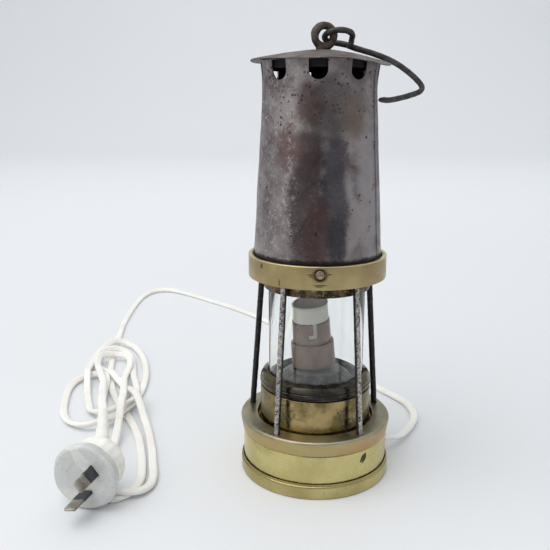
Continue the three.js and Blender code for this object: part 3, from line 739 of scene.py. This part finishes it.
def seat_bronze():
    """Glossy black-brown, with an olive painted sheen at its sides as seen from the front, and painted
    shade in its groove.
    """
    paint = Paint("seat bronze", metallic=0.85)
    mottle = paint.noise(10, detail=5, stretch=(1, 1, 2))
    paint.ground(paint.level(mottle, 0.4, 0.62), (44, 42, 40), (70, 66, 58))
    # Painted sheen: olive towards the ring's sides as seen from the front.
    paint.stain(paint.level(paint.apart(paint.around(), -90), 30, 75), (122, 110, 72), 0.55)
    # Painted shade along the groove.
    paint.stain(paint.level(paint.apart(paint.z, SEAT_GROOVE_Z), 0.1, 0.5, 1, 0), (24, 22, 22), 0.75)
    paint.gloss(paint.noise(5, offset=4), 0.16, 0.34)
    paint.relief(paint.noise(1.2, detail=3, stretch=(0.05, 0.05, 1)), 0.02)
    paint.relief(mottle, 0.05)
    return paint.material


def collar_bronze():
    paint = Paint("collar bronze", metallic=0.8)
    mottle = paint.noise(7, detail=5, rough=0.7)
    paint.ground(paint.level(mottle, 0.4, 0.62), (44, 38, 32), (104, 88, 64))
    paint.stain(paint.cloud(0.54, 0.66, 2.2, offset=7), (150, 132, 100), 0.7)
    paint.gloss(paint.noise(4, offset=2), 0.3, 0.55)
    paint.relief(mottle, 0.08)
    return paint.material


def sleeve_paint():
    """Milky insulating sleeve, a little greyer at its lip."""
    paint = Paint("holder sleeve", Transmission_Weight=0.12, Subsurface_Weight=0.15,
                  Subsurface_Scale=0.003)
    mottle = paint.noise(5)
    paint.ground(paint.level(mottle, 0.35, 0.65), (246, 238, 225), (250, 246, 236))
    paint.stain(paint.level(paint.z, HOLDER_Z + 31, HOLDER_Z + 32), (214, 214, 210), 0.5)
    paint.gloss(paint.noise(3), 0.3, 0.5)
    paint.relief(mottle, 0.05)
    return paint.material


def cord_paint():
    """White PVC that has yellowed a little, with handling dirt."""
    paint = Paint("cord white", Subsurface_Weight=0.08, Subsurface_Scale=0.002)
    paint.ground(paint.cloud(0.35, 0.65, 34, detail=3), (240, 238, 231), (248, 247, 243))
    paint.stain(paint.cloud(0.56, 0.74, 7, detail=5, offset=6), (212, 206, 192), 0.35)
    paint.gloss(paint.noise(9, offset=2), 0.32, 0.5)
    paint.relief(paint.noise(2.5, detail=3), 0.03)
    return paint.material


FRONT = -95  # degrees round: the side of the lamp that faces the camera
SEAM = -30  # degrees round: where the bonnet's sheet laps over itself
SEAT_GROOVE_Z = 54.6
# Verdigris on the fount's neck: degrees round, height and half width.
VERDIGRIS = [(-62, 42, 7), (-121, 41, 8), (-57, 36, 6), (-128, 47, 5)]
# Stains on the middle ring: degrees from the front screw, height from it, half width and half height.
RING_STAINS = [(-6.8, 0.1, 2.2, 0.4), (-6.6, -0.9, 1.5, 0.35), (7, 0.3, 1.9, 0.35),
               (0, -5.3, 4.6, 0.35), (-0.6, -6, 2.4, 0.3), (-32.8, -5.4, 0.35, 2.2), (-52, 1.4, 0.8, 1.6)]
# Patches on the bonnet: degrees round, height, half width, half height and colour.
BONNET_PATCHES = [
    (-104, 160, 11, 48, (56, 43, 44)), (-79, 160, 8, 40, (62, 61, 67)),
    (-92, 140, 8, 22, (80, 60, 58)), (-76, 138, 6, 16, (58, 58, 64)),
    (-84, 205, 16, 18, (88, 82, 82)), (-103, 206, 9, 14, (80, 66, 64)),
    (-122, 185, 8, 12, (104, 84, 80)), (-60, 200, 8, 12, (112, 100, 90)),
    (-40, 160, 10, 40, (150, 146, 148)), (60, 170, 20, 30, (96, 82, 80)),
    (140, 150, 18, 26, (92, 86, 92)), (170, 200, 14, 20, (110, 90, 80)),
]

WHITE_MOULDING = worn("white moulding", (246, 246, 240), (234, 233, 225), 9, rough=(0.3, 0.46),
                      bump=0.03, Subsurface_Weight=0.1, Subsurface_Scale=0.002)
PIN_METAL = worn("pin metal", (176, 172, 162), (128, 122, 112), 4, 0.7, (0.3, 0.5), 0.02, (84, 78, 70))
PIN_BLACK = worn("pin sleeve", (58, 60, 63), (40, 42, 46), 4, 0.0, (0.35, 0.5), 0.02)
IRON_BLACK = worn("lock plug", (104, 84, 54), (58, 46, 30), 2, 0.4, (0.45, 0.65), 0.08, (26, 22, 18))
RING_IRON = worn("ring iron", (98, 88, 80), (58, 50, 46), 4, 0.6, (0.4, 0.65), 0.1, (44, 36, 32))
HOOK_IRON = worn("hook iron", (82, 80, 78), (48, 46, 45), 4, 0.5, (0.38, 0.6), 0.08, (96, 66, 44))
SCREW_STEEL = worn("screw steel", (166, 150, 134), (118, 100, 84), 3, 0.75, (0.34, 0.55), 0.04,
                   (64, 52, 44))
SPRING_STEEL = worn("spring steel", (176, 176, 174), (128, 126, 122), 2, 0.9, (0.28, 0.45), 0.02)
CONTACT_BRASS = worn("contact brass", (206, 180, 112), (160, 134, 76), 2, 1.0, (0.24, 0.42), 0.02)
BAKELITE = worn("bakelite", (152, 130, 116), (124, 100, 88), 10, 0.0, (0.3, 0.5), 0.04, (140, 130, 122))
RUBBER = worn("gasket rubber", (48, 48, 48), (28, 28, 28), 5, 0.0, (0.6, 0.8), 0.05)
CAD_LOOKS = {
    "base_plate": worn("base plate", (190, 176, 120), (140, 122, 76), 16, 1.0, (0.28, 0.5), 0.05,
                       (70, 58, 36)),
    "base_screw_1": SCREW_STEEL,
    "base_screw_2": SCREW_STEEL,
    "base_screw_3": SCREW_STEEL,
    "contact_plunger_1": CONTACT_BRASS,
    "contact_plunger_2": CONTACT_BRASS,
    "crown_band": worn("crown band", (14, 12, 11), (7, 6, 6), 5, 0.0, (0.8, 0.95), 0.1),
    "eye_washer": worn("eye washer", (128, 112, 98), (84, 70, 60), 3, 0.6, (0.4, 0.6), 0.06, (52, 40, 32)),
    "gauze": gauze_wire(),
    "gauze_ring": worn("gauze ring", (150, 132, 84), (96, 80, 50), 8, 0.9, (0.35, 0.55), 0.05),
    "inner_lead": worn("inner lead", (228, 226, 218), (206, 202, 190), 9, 0.0, (0.35, 0.5), 0.03),
    "lower_gasket": RUBBER,
    "terminal_block": worn("terminal block", (214, 210, 200), (188, 182, 168), 5, 0.0, (0.35, 0.55), 0.03),
    "upper_gasket": RUBBER,
}


# ------------------------------------------------------------------ the lead
def twin_section(sides=20):
    """Outline of the flat twin cord, across and up, from its middle."""
    lobe, offset = CORD_T / 2, (CORD_W - CORD_T) / 2
    outline = []
    for i in range(sides):
        a = 2 * math.pi * (i + 0.5) / sides
        across, up = math.cos(a), math.sin(a)
        waist = 1 - 0.2 * math.exp(-(across / 0.22) ** 2)
        outline.append((math.copysign(offset, across) * min(1, abs(across) * 3) + lobe * across,
                        lobe * up * waist))
    return np.array(outline)


def tube_along(line, roll, section):
    """Points and faces of a tube whose section keeps its width level, turned by roll."""
    ahead = np.gradient(line, axis=0)
    ahead /= np.linalg.norm(ahead, axis=1)[:, None]
    across = np.cross(ahead, (0, 0, 1.0))
    across /= np.linalg.norm(across, axis=1)[:, None]
    up = np.cross(across, ahead)
    points = []
    for p, s, u, r in zip(line, across, up, roll):
        c, n = math.cos(r), math.sin(r)
        points.extend(p + s * (x * c - y * n) + u * (x * n + y * c) for x, y in section)
    return points, skin(len(section), len(line))


def faded(values, width, mode="same"):
    """Values smoothed along the cord."""
    kernel = np.hanning(width)
    return np.convolve(values, kernel / kernel.sum(), mode)


def cord_roll(flat):
    """How far the cord leans on its edge: it stands up where it turns sharply, but not by the plug."""
    ahead = np.gradient(flat[:, :2], axis=0)
    heading = np.unwrap(np.arctan2(ahead[:, 1], ahead[:, 0]))
    bend = faded(np.gradient(heading) / CORD_STEP, 17)
    near_plug = np.clip((flat[:, 1] + 32) / 20, 0, 1)
    return np.clip(bend * 14, -1, 1) * math.radians(58) * near_plug


def lay(flat, roll, rest_from):
    """Heights for a route on the floor that crosses itself: each stretch lies on the ones before."""
    own_stretch, clearance, steepest = 12 / CORD_STEP, 1.04, 0.34 * CORD_STEP
    half_w = CORD_W / 2 * np.cos(roll) + CORD_T / 2 * np.abs(np.sin(roll))
    half_h = CORD_T / 2 * np.cos(roll) + CORD_W / 2 * np.abs(np.sin(roll))
    count = len(flat)
    order = np.arange(count)
    apart = np.linalg.norm(flat[:, None, :2] - flat[None, :, :2], axis=2)
    below = (order[:, None] - order[None, :]) > own_stretch
    reach = half_w[:, None] + half_w[None, :]
    overlap = np.sqrt(np.clip(1 - (apart / reach) ** 2, 0, 1)) * below
    stack = (half_h[:, None] + half_h[None, :]) * clearance
    height = np.maximum(half_h, flat[:, 2] * (order < rest_from))
    for _ in range(12):
        need = np.where(overlap > 0.02, height[None, :] + stack * overlap, 0).max(axis=1)
        height = np.maximum(height, need)
        for i in range(1, count):
            height[i] = max(height[i], height[i - 1] - steepest)
        for i in range(count - 2, -1, -1):
            height[i] = max(height[i], height[i + 1] - steepest)
        height = np.maximum(faded(np.pad(height, 4, mode="edge"), 9, "valid"), half_h)
    return height


def lead():
    start = [polar(43, CORD_EXIT, 11.4), polar(48.2, CORD_EXIT, 9.9)]
    hank = [(x, y, CORD_T / 2) for x, y in HANK]
    line = smooth_line(start + LEAD + hank, CORD_STEP)
    roll = cord_roll(line)
    line[:, 2] = lay(line, roll, rest_from=round(60 / CORD_STEP))
    tail = smooth_line([line[-1], *TAIL, plug_point(0, RELIEF_Y, PLUG_BACK)], CORD_STEP)[1:]
    line = np.vstack([line, tail])
    roll = faded(np.concatenate([roll, np.zeros(len(tail))]), 15)
    cord = piece("lead_cord", tube_along(line, roll, twin_section()), cord_paint(), "fount",
                 ("cord_run", "cord_hank", "cord_tail"), sharp=60)
    relief = strain_relief(line[::-1])
    plug()
    grommet()


def strain_relief(from_plug):
    """The plug's tapered sleeve: from inside its body, along the last of the cord."""
    along = np.concatenate([[0], np.cumsum(np.linalg.norm(np.diff(from_plug, axis=0), axis=1))])
    at = np.linspace(0, RELIEF_L, 53)
    line = np.stack([np.interp(at, along, from_plug[:, k]) for k in range(3)], axis=1)
    inside = [plug_point(0, RELIEF_Y - 2.6, PLUG_BACK + 7), plug_point(0, RELIEF_Y - 0.6, PLUG_BACK + 2)]
    radii = np.interp(at, [0, 6, RELIEF_L - 0.6, RELIEF_L], [3.9, 3.4, 2.8, 2.5])
    shape = wire([*inside, *line], [3.9, 3.9, *radii], 28)
    return piece("plug_relief", shape, WHITE_MOULDING, "fount", sharp=60)


def grommet():
    """Lies along X, and is turned to the cord's exit."""
    inner, outer, inside, outside = 2.4, 3.9, FOUNT_R - 3.2, FOUNT_R + 1.4
    profile = rounded([(inner, 27.5), (2.9, 27.5), (3.1, inside - 1.2), (outer, inside - 1.2),
                       (outer, inside), (3.2, inside), (3.2, outside - 0.8), (2.9, outside),
                       (inner, outside)], 0.25)
    lying = Matrix.Translation((0, 0, CORD_EXIT_Z)) @ Matrix.Rotation(math.radians(CORD_EXIT), 4, "Z")
    shape = moved(turned(profile, 40), lying @ ALONG_X)
    return piece("fine_cord_grommet", shape, WHITE_MOULDING, "fount", ("cord_grommet",))


def plug_matrix():
    heading = math.radians(PLUG_HEADING)
    facing = Vector((math.cos(heading), math.sin(heading), 0))
    level = Vector((0, 0, 1)).cross(facing)
    turn = Matrix((level, (0, 0, 1), facing)).transposed().to_4x4()
    return Matrix.Translation(PLUG_FACE) @ turn


def plug_point(x, y, z):
    return plug_matrix() @ Vector((x, y, z))


def pin_matrix(side):
    return (plug_matrix() @ Matrix.Rotation(math.radians(PLUG_ROLL), 4, "Z")
            @ Matrix.Translation((side * PIN_SIDE, PIN_UP, 0))
            @ Matrix.Rotation(math.radians(side * PIN_LEAN), 4, "Z"))


def flat_bar(width, thick, stations, sides=16):
    """A bar along Z with a rounded oblong section, shrunk at each station of (height, shrink)."""
    corner = thick * 0.28
    outline = []
    for i in range(sides):
        a = 2 * math.pi * (i + 0.5) / sides
        outline.append((math.copysign(thick / 2 - corner, math.cos(a)) + corner * math.cos(a),
                        math.copysign(width / 2 - corner, math.sin(a)) + corner * math.sin(a)))
    points = [(x - math.copysign(shrink, x), y - math.copysign(shrink, y), z)
              for z, shrink in stations for x, y in outline]
    return points, skin(sides, len(stations))


def plug():
    return [plug_face(), plug_body(), *plug_pin(1, -1), *plug_pin(2, 1)]


def plug_face():
    """Clear, with a lobed rim."""
    def lobed(angle, r, z):
        rim = np.clip((r - PLUG_R + 2) / 2, 0, 1)
        return r - 0.4 * rim * (1 + np.cos(6 * angle + 0.8)) / 2, z

    face = dense(rounded([(0.4, -5.3), (PLUG_R - 0.3, -5.3), (PLUG_R, -4.6), (PLUG_R, -1.2),
                          (PLUG_R - 1.6, 0), (9.5, 0), (8.5, -0.2), (0.4, -0.2)], 0.6), 3)
    slots = [moved(block(PIN_T + 0.6, PIN_W + 0.6, 20), pin_matrix(side)) for side in (-1, 1)]
    return piece("fine_plug_face", moved(turned(face, 96, lobed), plug_matrix()), plug_clear(), "fount",
                 ("plug_face",), cuts=slots)


def plug_body():
    """White, with flutes round it and a groove for the fingers."""
    def gripped(angle, r, z):
        side = np.clip((r - 11) / 3, 0, 1)
        return r - 0.35 * side * (1 + np.cos(18 * angle)) / 2, z

    r = PLUG_BODY_R
    body = dense(rounded([(0.4, PLUG_BACK), (r - 3.4, PLUG_BACK), (r - 1, PLUG_BACK + 1.8),
                          (r, PLUG_BACK + 5), (r - 0.9, -13.5), (r - 0.9, -11), (r, -9.5),
                          (r, PLUG_SPLIT), (12.2, PLUG_SPLIT), (12.2, -17), (0.4, -17)], 0.8), 2.5)
    socket = rod((0, RELIEF_Y - 2.4, -12), (0, RELIEF_Y, PLUG_BACK - 4), RELIEF_R)
    return piece("fine_plug_body", moved(turned(body, 108, gripped), plug_matrix()), WHITE_MOULDING,
                 "fount", ("plug_body",), cuts=[moved(socket, plug_matrix())])


def plug_pin(number, side):
    """A flat blade, and the black sleeve round its root."""
    blade = flat_bar(PIN_W, PIN_T, [(-9, 0.1), (-8.8, 0), (PIN_L - 0.9, 0), (PIN_L - 0.3, 0.12),
                                    (PIN_L, 0.4)])
    sleeve = flat_bar(PIN_W + 0.3, PIN_T + 0.3, [(-5, 0.1), (-4.9, 0), (8, 0), (8.2, 0.12)])
    return [piece(f"fine_plug_pin_{number}", moved(blade, pin_matrix(side)), PIN_METAL, "fount",
                  (f"plug_pin_{number}",)),
            piece(f"plug_pin_sleeve_{number}", moved(sleeve, pin_matrix(side)), PIN_BLACK, "fount")]


# ------------------------------------------------------------------ fount and glass
def lock_shape(depth, swell):
    """A teardrop lying in the fount's side, with its point down and to the left."""
    stations = [(-2.6, -3.4, 0.2), (-1.5, -2, 1.0), (-0.2, -0.2, 1.8), (0.8, 1.4, 1.7),
                (1.6, 2.6, 0.9), (1.9, 3.2, 0.2)]
    line = [polar(FOUNT_R - depth, LOCK_TURN - 1.2 + degrees * 1.3, LOCK_Z + 1.2 + up)
            for degrees, up, _ in stations]
    return wire(line, [max(0.1, radius + swell) for _, _, radius in stations], 24)


def foot_ring():
    bore = FOUNT_SEAT_R + 0.35
    profile = [(bore, 0), (FOOT_R - 0.5, 0), (FOOT_R, 0.5), (FOOT_R, FOOT_TOP - 0.4),
               (41.85, FOOT_TOP), (41.85, 8.6), (FOUNT_R + 0.35, 8.6), (FOUNT_R + 0.35, FOOT_TOP),
               (bore, FOOT_TOP)]
    piece("fine_foot_ring", turned(rounded(profile, 0.5)), foot_brass(), "fount", ("foot_ring",))


def fount():
    """A hollow shell, open below, with a neck, a hole for the lead and the lock's recess."""
    inner = FOUNT_R - 2.4
    shell = rounded([(29, 2.8), (FOUNT_SEAT_R, 2.8), (FOUNT_SEAT_R, 7.8), (FOUNT_R, 7.8),
                     (FOUNT_R, FOUNT_TOP), (NECK_R + 0.8, FOUNT_TOP), (NECK_R, FOUNT_TOP + 0.8),
                     (NECK_R, NECK_TOP), (NECK_BORE, NECK_TOP), (NECK_BORE, 22.2), (inner, 22.2),
                     (inner, 8), (37, 8), (37, 5.3), (29, 5.3)], 0.5)
    cord_hole = rod(polar(30, CORD_EXIT, CORD_EXIT_Z), polar(50, CORD_EXIT, CORD_EXIT_Z), CORD_HOLE)
    scratch = wire([polar(FOUNT_R, LOCK_TURN + 0.8, LOCK_Z + 5.6),
                    polar(FOUNT_R, LOCK_TURN + 2.8, LOCK_Z + 8.2)], 0.28, 8)
    screws = [rod(polar(34, turn, 0), polar(34, turn, 8), 1.9) for turn in spread(30, 3)]
    piece("fine_fount", turned(shell, 180), fount_brass(), "fount", ("fount",),
          cuts=[cord_hole, lock_shape(0, 0), scratch, *screws])
    piece("fine_lock_plug", lock_shape(1.3, -0.3), IRON_BLACK, "fount", ("lock_plug",))


def glass_and_seat():
    seat = rounded([(20, 50.9), (30.6, 50.9), (30.6, 51.9), (31.5, 52.3), (31.5, 54), (31, 54.4),
                    (31.2, 55.6), (29.9, 57.9), (27.2, 59.3), (27.2, 56.2), (23.9, 56.2), (23.9, 52.9),
                    (20, 52.9)], 0.3)
    piece("fine_glass_seat", turned(seat, 180), seat_bronze(), "fount", ("glass_seat",))
    glass = rounded([(GLASS_BORE, GLASS_BOTTOM), (GLASS_R, GLASS_BOTTOM), (GLASS_R, GLASS_TOP),
                     (GLASS_BORE, GLASS_TOP)], 0.5)
    piece("fine_glass", turned(glass, 180), glass_paint(), "fount", ("glass",))


# ------------------------------------------------------------------ lampholder
def holder_matrix():
    return (Matrix.Translation((HOLDER_X, 0, HOLDER_Z))
            @ Matrix.Rotation(-math.radians(HOLDER_LEAN), 4, "Y"))


def lampholder():
    """The dome, and the holder's body, its barrel with two bayonet slots, and its sleeve."""
    dome = rounded([(23.4, 53.2), (21.7, 55.4), (18.7, 58.5), (15, 61), (12.5, 61.5), (3.2, 61.5),
                    (3.2, 60), (12, 60), (17.6, 57.2), (20.4, 54.4), (21.2, 53.2)], 0.8)
    piece("fine_burner_dome", turned(dome), dome_paint(), "fount", ("burner_dome",))
    place = holder_matrix()
    body = rounded([(2.6, 0), (12.1, 0), (12.1, 12.9), (9.9, 12.9), (9.9, 2), (2.6, 2)], 0.7)
    piece("fine_holder_body", moved(turned(dense(body, 1.5), 96), place), BAKELITE, "fount",
          ("holder_body",))
    barrel = rounded([(9.45, 13.2), (BARREL_R, 13.2), (BARREL_R, 24), (9.45, 24)], 0.25)
    down = moved(block(2.5, 4, 8.6), Matrix.Translation((0, -BARREL_R, 20.7)))
    across = moved(block(5.4, 4, 2.5), Matrix.Translation((-1.5, -BARREL_R, 17.2)))
    slots = [moved(spun(part, turn), place) for turn in spread(SLOT_TURN, 2) for part in (down, across)]
    piece("fine_holder_barrel", moved(turned(barrel, 96), place), BAKELITE, "fount",
          ("holder_barrel",), cuts=slots)
    sleeve = rounded([(8.9, 13.4), (9.3, 13.4), (9.3, 24.15), (10.1, 24.3), (10.1, 31.6), (10.3, 31.8),
                      (10.3, 33), (8.9, 33)], 0.25)
    piece("fine_holder_sleeve", moved(turned(sleeve, 96), place), sleeve_paint(), "fount",
          ("holder_sleeve",))


def contact_springs():
    """A coil under each plunger's head."""
    place, steps = holder_matrix(), 64
    for i, side in enumerate((-1, 1), 1):
        line = []
        for k in range(steps + 1):
            a = 2 * math.pi * SPRING_TURNS * k / steps
            line.append((side * PLUNGER_OFFSET + SPRING_R * math.cos(a), SPRING_R * math.sin(a),
                         SPRING_LOW + (SPRING_HIGH - SPRING_LOW) * k / steps))
        spring = piece(f"fine_contact_spring_{i}", moved(wire(line, SPRING_WIRE, 12), place),
                       SPRING_STEEL, "fount", (f"contact_spring_{i}",), sharp=60)
        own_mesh(spring)


# ------------------------------------------------------------------ cage
def pillar_point(turn, height):
    """On the line of the pillar at a turn, at a height above the lamp's foot."""
    t = (height - LOWER_RING_TOP) / (MID_RING_BOTTOM - LOWER_RING_TOP)
    return polar(PILLAR_FOOT_R + (PILLAR_HEAD_R - PILLAR_FOOT_R) * t, turn, height)


def pillars():
    low, high = LOWER_RING_TOP - PILLAR_SUNK, MID_RING_BOTTOM + PILLAR_SUNK
    for i, turn in enumerate(spread(PILLAR_FIRST, PILLARS), 1):
        line = [pillar_point(turn, z) for z in np.linspace(low, high, 150)]
        points, faces = wire(line, PILLAR_R, 28)
        # The back pillars get less of the pale outer colour: painted shade.
        in_front = polar(1, turn, 0)[1] < -0.3
        shape = (uneven(uneven(points, 2.2, 0.10), 0.9, 0.06), faces)
        piece(f"fine_pillar_{i}", shape, pillar_steel(i, 0.95 if in_front else 0.3), "cage",
              (f"pillar_{i}",), sharp=60)


def rings():
    """Both rings of the cage, bored for the pillars, and the collar under the middle one."""
    low, high = LOWER_RING_TOP - PILLAR_SUNK - 0.3, MID_RING_BOTTOM + PILLAR_SUNK + 0.3
    holes = [rod(pillar_point(turn, low), pillar_point(turn, high), PILLAR_R + 0.3)
             for turn in spread(PILLAR_FIRST, PILLARS)]
    lower = rounded([(31.8, 24.5), (41.4, 24.5), (42.5, 30.8), (42.6, 31.8), (42.2, 32.6),
                     (41.5, LOWER_RING_TOP), (33.3, LOWER_RING_TOP), (33, 32.7), (33, 29), (31.8, 28.4)])
    piece("fine_lower_ring", turned(lower, 180), lower_ring_brass(), "cage",
          ("lower_ring",), cuts=holes)
    middle = rounded([(MID_RING_BORE, MID_RING_BOTTOM), (MID_RING_R, MID_RING_BOTTOM),
                      (MID_RING_R, MID_RING_TOP), (35.2, MID_RING_TOP), (35.2, MID_RING_FLOOR),
                      (MID_RING_BORE, MID_RING_FLOOR)], 0.45)
    for turn in spread(SCREW_FIRST, SCREWS):
        holes.append(rod(polar(30, turn, SCREW_Z), polar(37, turn, SCREW_Z), 1.7))
        holes.append(rod(polar(MID_RING_R - 1.5, turn, SCREW_Z), polar(42, turn, SCREW_Z), 3.25, 48))
    for ends in RING_SCRATCHES:
        line = [polar(MID_RING_R + 0.06, SCREW_FIRST + a, SCREW_Z + z) for a, z in ends]
        holes.append(wire(line, 0.26, 8))
    piece("fine_middle_ring", turned(middle, 216), middle_ring_brass(), "cage",
          ("middle_ring",), cuts=holes)
    collar = rounded([(27.3, 107.7), (29.3, 107.7), (29.3, 113.9), (27.3, 113.9)])
    piece("fine_collar", turned(collar), collar_bronze(), "cage", ("collar",))


def bonnet_screws():
    head = rounded([(0.05, 36.6), (2.2, 36.6), (2.4, 36.8), (2.4, 37.2), (1.9, 37.75), (0.05, 37.9)], 0.2)
    shank = rounded([(0.05, 32.6), (1.3, 32.6), (1.3, 36.7), (0.05, 36.7)], 0.2)
    slot = moved(block(1, 8, 0.7), Matrix.Translation((MID_RING_R + 0.1, 0, 0)))
    shape = moved(together(turned(head, 48), turned(shank, 32)), ALONG_X)
    for i, turn in enumerate(spread(SCREW_FIRST, SCREWS), 1):
        piece(f"fine_bonnet_screw_{i}", spun(shape, turn, SCREW_Z), SCREW_STEEL, "cage",
              (f"bonnet_screw_{i}",), cuts=[spun(slot, turn, SCREW_Z)])


# ------------------------------------------------------------------ bonnet, crown, ring and hook
def dented(angle, r, z):
    """Sheet that has been knocked about, with its lap standing out beside the seam."""
    place = np.stack([r * np.cos(angle), r * np.sin(angle), z], axis=2).reshape(-1, 3)
    soft = [noise.noise(Vector(p) / 17) * 0.28 + noise.noise(Vector(p) / 6) * 0.07 for p in place]
    turn = (np.degrees(angle) - SEAM + 180) % 360 - 180
    lap = np.clip((turn + 0.8) / 0.8, 0, 1) * np.clip((13 - turn) / 5, 0, 1)
    free = np.clip((z - MID_RING_TOP) / 8, 0, 1)
    return r + (np.array(soft).reshape(r.shape) + 0.5 * lap) * free, z


def bonnet():
    """A tapered wall that flares a little at its top, with round-ended notches cut in its edge."""
    outer = [(34.7, BONNET_BOTTOM), (34.7, 126.8), (32.4, 168), (30.1, 208), (29.95, 213), (30.2, 219),
             (31.2, BONNET_TOP)]
    wall = outer + [(r - BONNET_SHEET, z) for r, z in outer[::-1]]
    tools = []
    for turn in spread(NOTCH_FIRST, NOTCHES):
        low = NOTCH_BOTTOM + NOTCH_W / 2
        tools.append(rod(polar(20, turn, low), polar(45, turn, low), NOTCH_W / 2, 40))
        tools.append(spun(moved(block(25, NOTCH_W, 20), Matrix.Translation((32.5, 0, low + 10))), turn))
    for turn in spread(SCREW_FIRST, SCREWS):
        tools.append(rod(polar(30, turn, SCREW_Z), polar(40, turn, SCREW_Z), 1.7))
    piece("fine_bonnet", turned(dense(wall, 2.4), 360, dented), bonnet_steel(), "cage",
          ("bonnet",), cuts=tools, sharp=50)


def bent(angle, r, z):
    """The crown's rim, knocked down on one side and a little up on the other."""
    rim = np.clip((r - 8) / 28, 0, 1) ** 2
    turn = (np.degrees(angle) + 180) % 360 - 180
    near = np.clip(1 - np.abs(turn + 34) / 44, 0, 1)
    droop = near ** 2 * (3 - 2 * near)
    lift = 0.1 - 0.5 * np.cos(angle) - 1.95 * droop + 0.25 * np.sin(4 * angle)
    return r + 0.5 * rim * droop, z + rim * lift + 0.5 * np.clip(1 - r / 34, 0, 1)


def crown():
    top = [(2.5, CROWN_APEX), (9, CROWN_APEX - 0.1), (20, 230.4), (30, 228.4), (34, 227.5),
           (CROWN_R, CROWN_RIM), (CROWN_R, CROWN_RIM - 0.6)]
    under = [(33.8, 226.8), (30, 227.6), (20, 229.6), (9, 231.1), (2.5, 231.1)]
    profile = dense(rounded(top + under, 0.3), 2)
    piece("fine_crown", turned(profile, 216, bent), crown_steel(), "cage", ("crown",))


def eye_matrix():
    return Matrix.Rotation(math.radians(EYE_TURN), 4, "Z") @ Matrix.Translation((EYE_LEAN, 0, EYE_Z))


def eye_ring():
    """A forged ring on a short stem, whose end is hammered over under the crown."""
    turn = np.linspace(0, 2 * math.pi, 73)
    line = [(EYE_R * math.cos(a), 0, EYE_R * math.sin(a)) for a in turn]
    points, faces = wire(line, [EYE_WIRE * (1 + 0.05 * math.sin(3 * a)) for a in turn], 28)
    ring = moved((uneven(points, 3, 0.2), faces), eye_matrix())
    stem = wire([(0, 0, z) for z in (229, 230.5, 232, 233.5, 235)], [2, 2, 2.1, 2.5, 2.4], 28)
    burr = wire([(0, 0, z) for z in (228.3, 228.6, 229.1, 229.6)], [2.4, 3.2, 3.6, 3.5], 28)
    piece("fine_eye_ring", together(ring, stem, burr), RING_IRON, "eye", ("eye_ring",),
          sharp=60)


def hook():
    """One length of wire: a loop through the ring, a shank, a sharp bend and a point drawn back in."""
    droop, tilt = math.radians(LINK_DROOP), math.radians(LINK_TILT)
    along = Vector((math.cos(droop), 0, -math.sin(droop)))
    up = Vector((math.sin(droop), 0, math.cos(droop)))
    across = Vector((0, -math.cos(tilt), 0)) + up * math.sin(tilt)
    loop = [Vector(LINK_AT) + (along * math.cos(a) + across * math.sin(a)) * LINK_R
            for a in np.radians(np.arange(-352, -90, 8))]
    free_end = [Vector((13.6, 1.5, -5.6)), Vector((14.8, 0.9, -3.9)), Vector((15.3, 0.5, -2.2))]
    line = smooth_line([eye_matrix() @ Vector(p) for p in free_end + loop + HOOK_POINTS], 0.8)
    radii = np.full(len(line), HOOK_WIRE * 1.06)
    radii[:3] = HOOK_WIRE * np.array([0.55, 0.85, 0.97])
    radii[-4:] = HOOK_WIRE * np.array([0.97, 0.9, 0.75, 0.45])
    points, faces = wire(line, radii, 24)
    piece("fine_hook", (uneven(points, 2.6, 0.12), faces), HOOK_IRON, "hook", ("hook",),
          sharp=60)


def dress_cad():
    """Gives each CAD node that stays in view its own material."""
    for name, material in CAD_LOOKS.items():
        mesh = frame["nodes"][name].data
        mesh.materials.clear()
        mesh.materials.append(material)


camera()
lead()
world()
area_light("key", (-0.6, -0.45, 1.4), (0, 0, 0.1), 1.6, 12, (1, 0.985, 0.96))
area_light("backdrop wash", (0, 1.0, 2.6), (0, 4.1, 1.6), 2.5, 34)
backdrop()
dress_cad()
foot_ring()
fount()
glass_and_seat()
lampholder()
contact_springs()
pillars()
rings()
bonnet_screws()
bonnet()
crown()
eye_ring()
hook()
